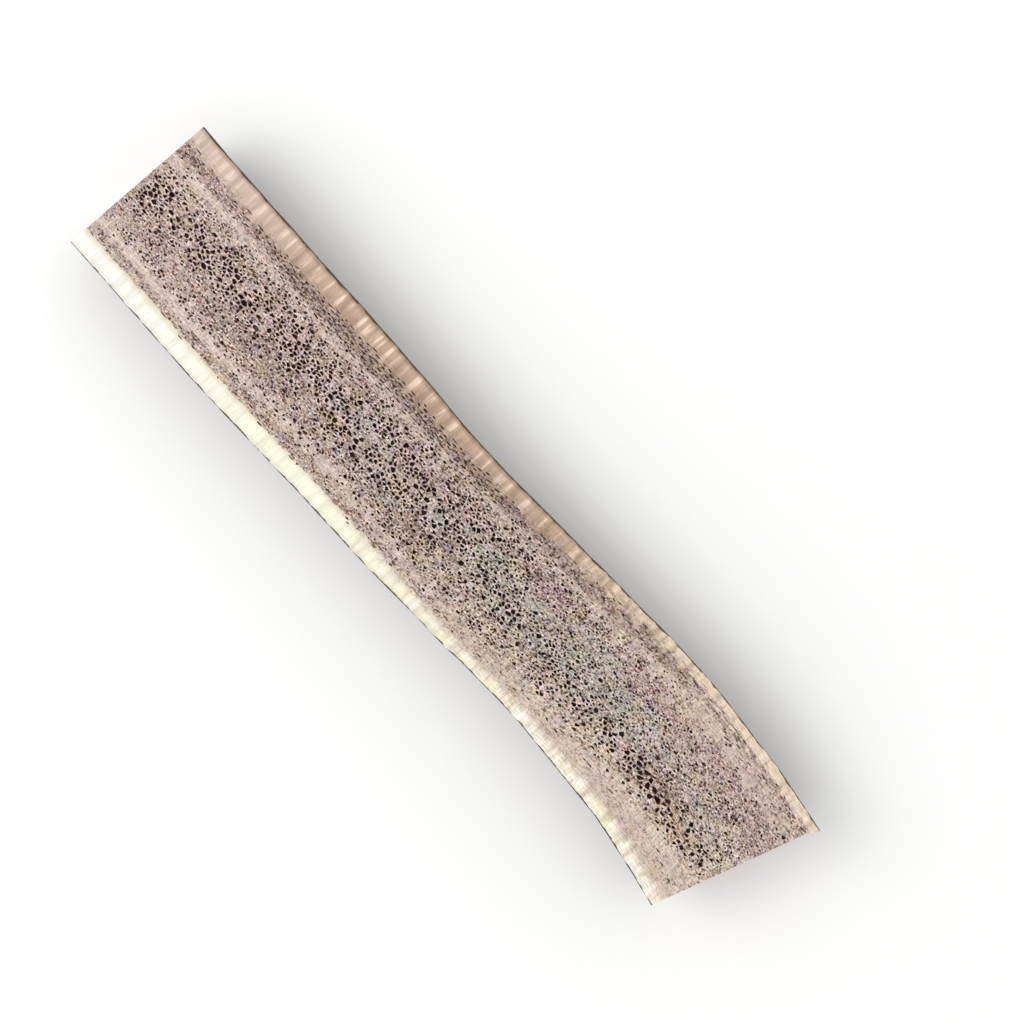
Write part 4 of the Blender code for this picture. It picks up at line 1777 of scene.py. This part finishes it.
@dataclass(frozen=True)
class SawnBoneFinish:
    """Sawn antler: cream compact bone with saw marks round a mauve-grey spongy core.

    Attributes:
        pink_rim: Compact bone of the +Y side near the square end.
        tan_rim: Compact bone of the +Y side half way.
        cream_rim: Compact bone of the +Y side near the slanted end.
        white_rim: Compact bone of the -Y side at the square end.
        ivory_rim: The same, half way.
        cream_fringe: Its inner edge.
        yellow_rim: Compact bone of the -Y side near the slanted end.
        cream_shadow: The darker cross bands there.
        rim_stripe: The lighter cross bands of the +Y rim.
        rim_shadow: The darker cross bands.
        strut: The palest bone of the core.
        pink_bone: The dense strips of the core near the square end.
        cream_bone: The same, near the slanted end.
        mauve: The core's main colour near the square end.
        drab: The core's main colour near the slanted end.
        shadow: Painted shade in the small hollows between the core's struts; also dark specks in
            the inner -Y rim.
        hollow: Pores too fine to be cut into the mesh.
        pore: The inside of the pores: dark marrow, deepened with painted shade.
        old_pore: The inside of the pores near the square end, brown with marrow and deepened with
            painted shade.
        bark: The bark's thin cut edge; also the browning, partly painted shade, beside it.
        dimmed: What the bone just outside and inside the +Y edge of the core is darkened by.
    """

    pink_rim: Colour = shade(217, 192, 178)
    tan_rim: Colour = shade(203, 174, 152)
    cream_rim: Colour = shade(234, 215, 194)
    white_rim: Colour = shade(255, 253, 244)
    ivory_rim: Colour = shade(254, 251, 228)
    cream_fringe: Colour = shade(236, 224, 200)
    yellow_rim: Colour = shade(251, 241, 219)
    cream_shadow: Colour = shade(204, 182, 160)
    rim_stripe: Colour = shade(248, 224, 203)
    rim_shadow: Colour = shade(170, 141, 120)
    strut: Colour = shade(246, 229, 219)
    pink_bone: Colour = shade(224, 204, 192)
    cream_bone: Colour = shade(214, 195, 180)
    mauve: Colour = shade(190, 167, 156)
    drab: Colour = shade(187, 168, 151)
    shadow: Colour = shade(134, 108, 98)
    hollow: Colour = shade(73, 45, 36)
    pore: Colour = shade(55, 31, 22)
    old_pore: Colour = shade(82, 38, 31)
    bark: Colour = shade(84, 70, 48)
    dimmed: Colour = (0.86, 0.84, 0.82, 1.0)

    def stains(self) -> tuple[Stain, ...]:
        """The patches of other colours, from the square end to the slanted one."""
        grey_green = shade(161, 163, 152)
        blue_grey = shade(152, 156, 157)
        purple = shade(164, 119, 130)
        fringe = shade(143, 119, 111)
        pale = shade(218, 199, 187)
        cream = shade(226, 207, 188)
        ochre = shade(186, 156, 112)
        rust = shade(94, 66, 46)
        umber = shade(118, 94, 84)
        rows = (
            (pale, 12.0, 7.4, 26.0, 1.7, 0.55), (pale, 16.0, -9.3, 38.0, 2.7, 0.75),
            (fringe, 24.0, -10.8, 40.0, 0.5, 0.5), (fringe, 56.0, 11.3, 56.0, 1.9, 0.9),
            (fringe, 96.0, 11.6, 30.0, 2.0, 0.9), (fringe, 128.0, 12.8, 14.0, 1.3, 0.75),
            (fringe, 150.0, 14.0, 16.0, 1.1, 0.85), (purple, 8.0, 10.6, 16.0, 1.5, 0.4),
            (blue_grey, 60.0, 1.6, 9.0, 3.0, 0.55), (blue_grey, 66.0, -3.6, 9.0, 2.8, 0.5),
            (fringe, 37.0, -3.2, 15.0, 2.7, 0.75), (umber, 62.0, -2.4, 3.4, 1.2, 0.5),
            (ochre, 56.0, -2.2, 5.0, 1.2, 0.85), (ochre, 72.0, -1.6, 3.0, 1.5, 0.5),
            (grey_green, 92.0, 1.2, 14.0, 4.6, 0.85), (grey_green, 122.0, 1.4, 24.0, 5.6, 0.8),
            (blue_grey, 106.0, -3.8, 8.0, 2.2, 0.5), (ochre, 104.0, -5.8, 12.0, 1.0, 0.45),
            (cream, 136.0, 8.6, 20.0, 2.6, 0.5), (purple, 155.0, 8.4, 15.0, 5.4, 0.6),
            (purple, 80.0, 4.6, 12.0, 2.2, 0.45), (purple, 105.0, 5.8, 9.0, 2.6, 0.7),
            (purple, 131.0, 6.8, 9.0, 2.8, 0.65), (purple, 146.0, -1.2, 7.0, 1.6, 0.5),
            (pale, 4.8, 5.2, 5.0, 1.8, 0.7), (umber, 55.0, 7.0, 5.0, 2.4, 0.5),
            (umber, 71.0, 2.7, 4.4, 1.5, 0.5), (umber, 79.0, -9.9, 4.4, 1.5, 0.45),
            (umber, 79.0, -4.2, 5.4, 3.0, 0.7), (umber, 87.0, -2.4, 4.6, 1.7, 0.75),
            (umber, 97.6, 5.4, 6.4, 1.6, 0.5), (umber, 112.0, 0.2, 4.0, 1.6, 0.45),
            (umber, 128.0, -2.4, 4.0, 1.6, 0.4), (cream, 136.4, 0.4, 4.4, 1.6, 0.35),
            (grey_green, 158.0, -0.4, 9.0, 2.6, 0.6), (umber, 162.0, 5.4, 3.6, 1.8, 0.4),
            (cream, 161.5, -4.0, 6.0, 9.0, 0.4), (rust, 146.2, -3.8, 6.4, 2.1, 0.95),
            (ochre, 155.5, -5.4, 9.0, 1.3, 0.75), (cream, 154.5, -7.8, 9.0, 1.7, 0.95),
            (ochre, 140.0, -7.4, 20.0, 1.3, 0.25), (cream, 109.0, -7.9, 16.0, 1.3, 0.35),
            (cream, 142.0, -10.6, 34.0, 2.9, 0.85),
        )
        return tuple(Stain(*row) for row in rows)

    def make(self, shared: SharedEffects) -> Material:
        """Make the material.

        Args:
            shared: The shared node groups.

        Returns:
            The material.
        """
        sheet = SawnSheet("sawn_bone", shared)
        is_core = self.core_share(sheet)
        colour = sheet.mix(is_core, self.rim_colour(sheet), self.core_colour(sheet))
        beside = sheet.times(
            sheet.remap(sheet.core, -2.6, -1.0), sheet.remap(sheet.core, 4.0, 2.0),
            sheet.sideways(0.0, 2.0), sheet.lengthwise(14.0, 30.0), sheet.lengthwise(146.0, 124.0),
        )
        colour = sheet.tint(colour, self.dimmed, beside)
        weave = self.weave(sheet, is_core)
        colour = self.with_rind(sheet, sheet.tint(colour, weave))
        colour = self.with_pores(sheet, colour)
        _, grains = sheet.grit(sheet.grown, 0.3, 0.6)
        sheet.bump(sheet.plus(weave, sheet.times(grains, 0.5)), 0.5, 0.06 * MM)
        return sheet.dress(colour, 0.72, 0.3)

    def core_share(self, sheet: SawnSheet) -> Socket:
        """Where the core shows: crisp at the -Y side near the square end, softer elsewhere."""
        is_upper = sheet.sideways(-1.0, 1.0)
        is_lower = sheet.minus(1.0, is_upper)
        softness = sheet.plus(
            sheet.times(is_upper, sheet.lengthwise(110.0, 140.0, 1.1, 0.6)),
            sheet.times(is_lower, sheet.lengthwise(72.0, 115.0, 0.22, 1.9)),
        )
        uneven = sheet.plus(sheet.lengthwise(50.0, 100.0, 0.22, 0.6), sheet.times(is_upper, 0.45))
        sway = sheet.times(sheet.remap(sheet.wander, 0.25, 0.75, -1.0, 1.0), uneven)
        inward = sheet.times(is_lower, sheet.lengthwise(100.0, 75.0, 0.0, 0.35))
        core = sheet.plus(
            sheet.minus(sheet.core, inward), sheet.lengthwise(18.0, 7.0, 0.0, 0.4), sway
        )
        share = sheet.math("DIVIDE", core, softness)
        return sheet.math("ADD", sheet.times(share, 0.5), 0.5, clamp=True)

    def weave(self, sheet: SawnSheet, is_core: Socket) -> Socket:
        """Fine lines across and along, as a grey that the colour is multiplied with."""
        plain = (0.5, 0.5, 0.5, 1.0)
        shown = sheet.math("MAXIMUM", is_core, sheet.lengthwise(80.0, 115.0, 0.0, 0.7))
        crossing = sheet.mix(
            sheet.math("MAXIMUM", shown, 0.35), plain, sheet.streaks(sheet.grown, 0.22, 2.6, 3.2)
        )
        running = sheet.mix(shown, plain, sheet.streaks(sheet.grown, 1.7, 0.25, 3.2))
        light = sheet.times(
            sheet.remap(crossing, 0.0, 1.0, 0.86, 1.14),
            sheet.remap(running, 0.0, 1.0, 0.80, 1.20),
            sheet.remap(sheet.bands, 0.0, 1.0, 0.95, 1.05),
        )
        return sheet.xyz(light, light, light)

    def with_rind(self, sheet: SawnSheet, colour: Socket) -> Socket:
        """Brown a colour towards the bark, partly as painted shade on the +Y edge, and show the
        bark's thin cut edge.
        """
        depth = sheet.plus(sheet.edge, sheet.remap(sheet.wander, 0.3, 0.7, -0.14, 0.14))
        # Browning near the bark, partly real and partly painted shade, strongest along the +Y edge.
        browned_and_shaded = sheet.times(
            sheet.remap(depth, 1.2, 0.25, 0.0, 0.42), sheet.lengthwise(112.0, 92.0, 0.1, 1.0),
            sheet.sideways(-1.0, 1.0, 0.3, 1.0),
        )
        colour = sheet.mix(browned_and_shaded, colour, self.bark)
        thickness = sheet.times(
            sheet.sideways(-1.0, 1.0, 0.55, 1.0), sheet.lengthwise(140.0, 100.0, 0.6, 1.0)
        )
        rind = sheet.math("DIVIDE", depth, thickness)
        return sheet.fade(colour, self.bark, rind, 0.40, 0.20)

    def with_pores(self, sheet: SawnSheet, colour: Socket) -> Socket:
        """Darken inside the pores with marrow and painted shade, redder near the square end and in
        the torn place.
        """
        # Marrow and painted shade: the walls darken from the mouth downwards, as far as each pore's
        # tone.
        inside = sheet.times(sheet.remap(sheet.read("pore"), 0.0, 0.3), sheet.read("tone"))
        torn = sheet.times(sheet.lengthwise(134.0, 141.0), sheet.lengthwise(156.0, 148.0))
        reddish = sheet.math("ADD", torn, sheet.lengthwise(75.0, 25.0), clamp=True)
        return sheet.mix(inside, colour, sheet.mix(reddish, self.pore, self.old_pore))

    def rim_colour(self, sheet: SawnSheet) -> Socket:
        """Colour of the compact bone: pink on one side, white on the other, cross-banded."""
        rim = sheet.fade(self.lower_rim(sheet), self.upper_rim(sheet), sheet.across, -2.0, 2.0)
        patches = sheet.lengthwise(40.0, 110.0, 0.3, 1.0)
        return sheet.mix(patches, rim, sheet.tint(rim, sheet.tints_wide))

    def upper_rim(self, sheet: SawnSheet) -> Socket:
        """Colour of the compact bone on the +Y side."""
        bands, edge = sheet.bands, sheet.edge
        upper = sheet.fade(self.pink_rim, self.tan_rim, sheet.along, 10.0, 45.0)
        upper = sheet.fade(upper, self.cream_rim, sheet.along, 95.0, 135.0)
        marked = sheet.times(
            sheet.lengthwise(20.0, 35.0, 0.7, 1.3), sheet.lengthwise(75.0, 55.0, 0.7, 1.0)
        )
        light = sheet.times(
            sheet.remap(bands, 0.52, 0.9, 0.0, 0.9), marked,
            sheet.remap(edge, 0.4, 1.2, 0.25, 1.0), sheet.remap(edge, 4.2, 2.6, 0.25, 1.0),
        )
        upper = sheet.mix(light, upper, self.rim_stripe)
        dark = sheet.times(sheet.remap(bands, 0.45, 0.05, 0.0, 0.42), marked)
        return sheet.mix(dark, upper, self.rim_shadow)

    def lower_rim(self, sheet: SawnSheet) -> Socket:
        """Colour of the compact bone on the -Y side."""
        bands, edge = sheet.bands, sheet.edge
        worn = sheet.fade(self.yellow_rim, self.cream_bone, edge, 1.2, 3.0)
        bright = sheet.times(sheet.remap(bands, 0.55, 0.95, 0.0, 0.75), sheet.remap(edge, 3.6, 1.2))
        worn = sheet.mix(bright, worn, self.white_rim)
        worn = sheet.fade(worn, self.cream_shadow, bands, 0.45, 0.05, 0.0, 0.5)
        lower = sheet.fade(self.white_rim, self.ivory_rim, sheet.along, 4.0, 60.0)
        lower = sheet.fade(lower, self.cream_fringe, edge, 2.4, 3.8, 0.0, 0.9)
        lower = sheet.fade(lower, self.cream_fringe, bands, 0.5, 0.0, 0.0, 0.22)
        lower = sheet.fade(lower, worn, sheet.along, 60.0, 115.0)
        deeper = sheet.times(
            sheet.remap(edge, 1.4, 3.4, 0.0, 0.55), sheet.lengthwise(55.0, 95.0), sheet.specks
        )
        return sheet.mix(deeper, lower, self.shadow)

    def stained(self, sheet: SawnSheet, colour: Socket) -> Socket:
        """Lay the stains over a colour, with uneven borders."""
        wobble = sheet.noise(sheet.sized(sheet.grown, (5.0, 2.2, 2.2)), 4.0)
        mottle = sheet.remap(wobble, 0.3, 0.7, -0.75, 0.75)
        for stain in self.stains():
            offsets = (
                sheet.math("DIVIDE", sheet.minus(sheet.along, stain.along), stain.length),
                sheet.math("DIVIDE", sheet.minus(sheet.across, stain.across), stain.width),
            )
            squares = (sheet.times(offset, offset) for offset in offsets)
            share = sheet.remap(sheet.plus(*squares, mottle), 1.6, -0.1, 0.0, stain.strength)
            colour = sheet.mix(share, colour, stain.colour)
        return colour

    def core_colour(self, sheet: SawnSheet) -> Socket:
        """Colour of the spongy core: pale struts over mauve, with stains, dark specks, painted
        shade between the struts and a painted highlight round the pores.
        """
        colour = sheet.fade(self.mauve, self.drab, sheet.along, 60.0, 110.0)
        colour = self.stained(sheet, colour)
        blotch = sheet.noise(sheet.sized(sheet.grown, (2.6, 1.1, 1.1)), 3.0)
        colour = sheet.fade(colour, self.strut, blotch, 0.52, 0.70, 0.0, 0.35)
        # Painted shade: where the blotch noise is low, the core darkens as if its shallow hollows
        # were shaded.
        colour = sheet.fade(colour, self.shadow, blotch, 0.50, 0.30, 0.0, 0.5)
        pale = sheet.noise(sheet.sized(sheet.grown, (0.46, 0.26, 0.26)))
        # Painted highlight: the bone round the pore mouths is made paler, more so where lip is
        # high.
        pale = sheet.plus(pale, sheet.remap(sheet.mouth_highlight, 0.2, 1.0, -0.04, 0.06))
        colour = sheet.fade(colour, self.strut, pale, 0.49, 0.62, 0.0, 0.8)
        # Painted shade between the fine struts, where the pale noise is low.
        colour = sheet.fade(colour, self.shadow, pale, 0.49, 0.34, 0.0, 0.65)
        tints = sheet.tints(sheet.sized(sheet.grown, (2.8, 1.5, 1.5)), (0.50, 0.05, 0.76))
        colour = sheet.tint(colour, tints)
        tinted = sheet.tint(colour, sheet.tints_wide)
        colour = sheet.fade(colour, tinted, sheet.along, 30.0, 55.0, 0.2, 0.9)
        uneven = sheet.remap(blotch, 0.3, 0.7, -0.25, 0.25)
        dense = sheet.math("ADD", sheet.strip, uneven, clamp=True)
        dense = sheet.times(dense, sheet.remap(sheet.strip, 0.0, 0.3))
        bone = sheet.fade(self.pink_bone, self.cream_bone, sheet.along, 60.0, 110.0)
        colour = sheet.mix(sheet.times(dense, 0.85), colour, bone)
        web = sheet.times(
            sheet.remap(sheet.grains, 0.56, 0.76), sheet.lengthwise(60.0, 120.0, 0.2, 0.34)
        )
        colour = sheet.mix(web, colour, self.strut)
        open_bone = sheet.math(
            "SUBTRACT", sheet.remap(blotch, 0.66, 0.44, 0.45, 0.9), sheet.times(dense, 0.7),
            clamp=True,
        )
        return sheet.mix(sheet.times(sheet.specks, open_bone), colour, self.hollow)


@dataclass(frozen=True)
class Studio:
    """Pale floor, soft light and the camera.

    Attributes:
        lens: Focal length in millimetres.
        sensor: Sensor width in millimetres.
        clip_start: Nearest distance that the camera sees.
        width: Width of the picture at the sawn face.
        aim_along: Where the picture's middle lies, along the beam.
        aim_side: The same, to the side.
        turn: How the picture is turned about +Z, in radians.
        window_place: Where the window is from there, as the picture is turned, in metres.
        window_size: Width of the window.
        window_power: Its power in watts.
        sky_strength: Strength of the even light from all sides.
        floor_size: Width of the floor.
        floor_colour: Its colour.
    """

    lens: float = 85.0
    sensor: float = 36.0
    clip_start: float = 0.01
    width: float = 186.8 * MM
    aim_along: float = 90.0 * MM
    aim_side: float = 12.0 * MM
    turn: float = math.radians(48.83)
    window_place: tuple[float, float, float] = (-0.92, 0.20, 1.0)
    window_size: float = 1.0
    window_power: float = 8.0
    sky_strength: float = 0.84
    floor_size: float = 3.0
    floor_colour: Colour = (0.94, 0.94, 0.935, 1.0)

    def make(self, shift: Vector) -> None:
        """Make the floor, the lights and the camera.

        Args:
            shift: From the beam's own lengths to the frame.
        """
        aim = Vector((self.aim_along, self.aim_side, 0.0)) + shift
        self.make_floor()
        self.make_window(aim)
        self.make_sky()
        self.make_camera(aim)
        bpy.context.scene.view_settings.view_transform = "Standard"

    @staticmethod
    def add(name: str, data: bpy.types.ID) -> bpy.types.Object:
        """Put an object into the scene."""
        made = bpy.data.objects.new(name, data)
        bpy.context.scene.collection.objects.link(made)
        return made

    def make_floor(self) -> None:
        """A plain pale floor."""
        half = 0.5 * self.floor_size
        mesh = bpy.data.meshes.new("floor")
        mesh.from_pydata(
            [(-half, -half, 0), (half, -half, 0), (half, half, 0), (-half, half, 0)],
            [], [(0, 1, 2, 3)],
        )
        mesh.materials.append(MaterialSheet("pale_floor").dress(self.floor_colour, 0.6, 0.2))
        self.add("floor", mesh)

    def make_window(self, aim: Vector) -> None:
        """A square soft light that faces the aim."""
        light = bpy.data.lights.new("window", "AREA")
        light.size = self.window_size
        light.energy = self.window_power
        window = self.add("window", light)
        window.location = aim + Matrix.Rotation(self.turn, 3, "Z") @ Vector(self.window_place)
        window.rotation_euler = (aim - window.location).to_track_quat("-Z", "Y").to_euler()

    def make_sky(self) -> None:
        """Even white light from all sides."""
        world = bpy.data.worlds.new("studio")
        world.use_nodes = True
        background = world.node_tree.nodes["Background"]
        background.inputs["Color"].default_value = (1.0, 1.0, 1.0, 1.0)
        background.inputs["Strength"].default_value = self.sky_strength
        bpy.context.scene.world = world

    def make_camera(self, aim: Vector) -> None:
        """A camera that looks straight down on the sawn face."""
        camera = bpy.data.cameras.new("camera")
        camera.lens = self.lens
        camera.sensor_width = self.sensor
        camera.clip_start = self.clip_start
        holder = self.add("camera", camera)
        holder.location = aim + Vector((0.0, 0.0, self.width * self.lens / self.sensor))
        holder.rotation_euler = (0.0, 0.0, self.turn)
        bpy.context.scene.camera = holder


def main() -> None:
    """Build the split antler and the studio."""
    logging.basicConfig(level=logging.INFO, format="%(name)s: %(message)s")
    shared = SharedEffects()
    materials = [BarkFinish().make(shared), SawnBoneFinish().make(shared)]
    antler = SplitAntler()
    piece = antler.build(materials)
    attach(piece, "root")
    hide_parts(CAD_NODE)
    low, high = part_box(CAD_NODE)
    beam = antler.beam
    square_corner = beam.end_at(End.SQUARE, -beam.form.at(0.0)[1])
    Studio().make(Vector((low.x - float(square_corner), SIDE_SHIFT, high.z)))


if __name__ == "__main__":
    main()
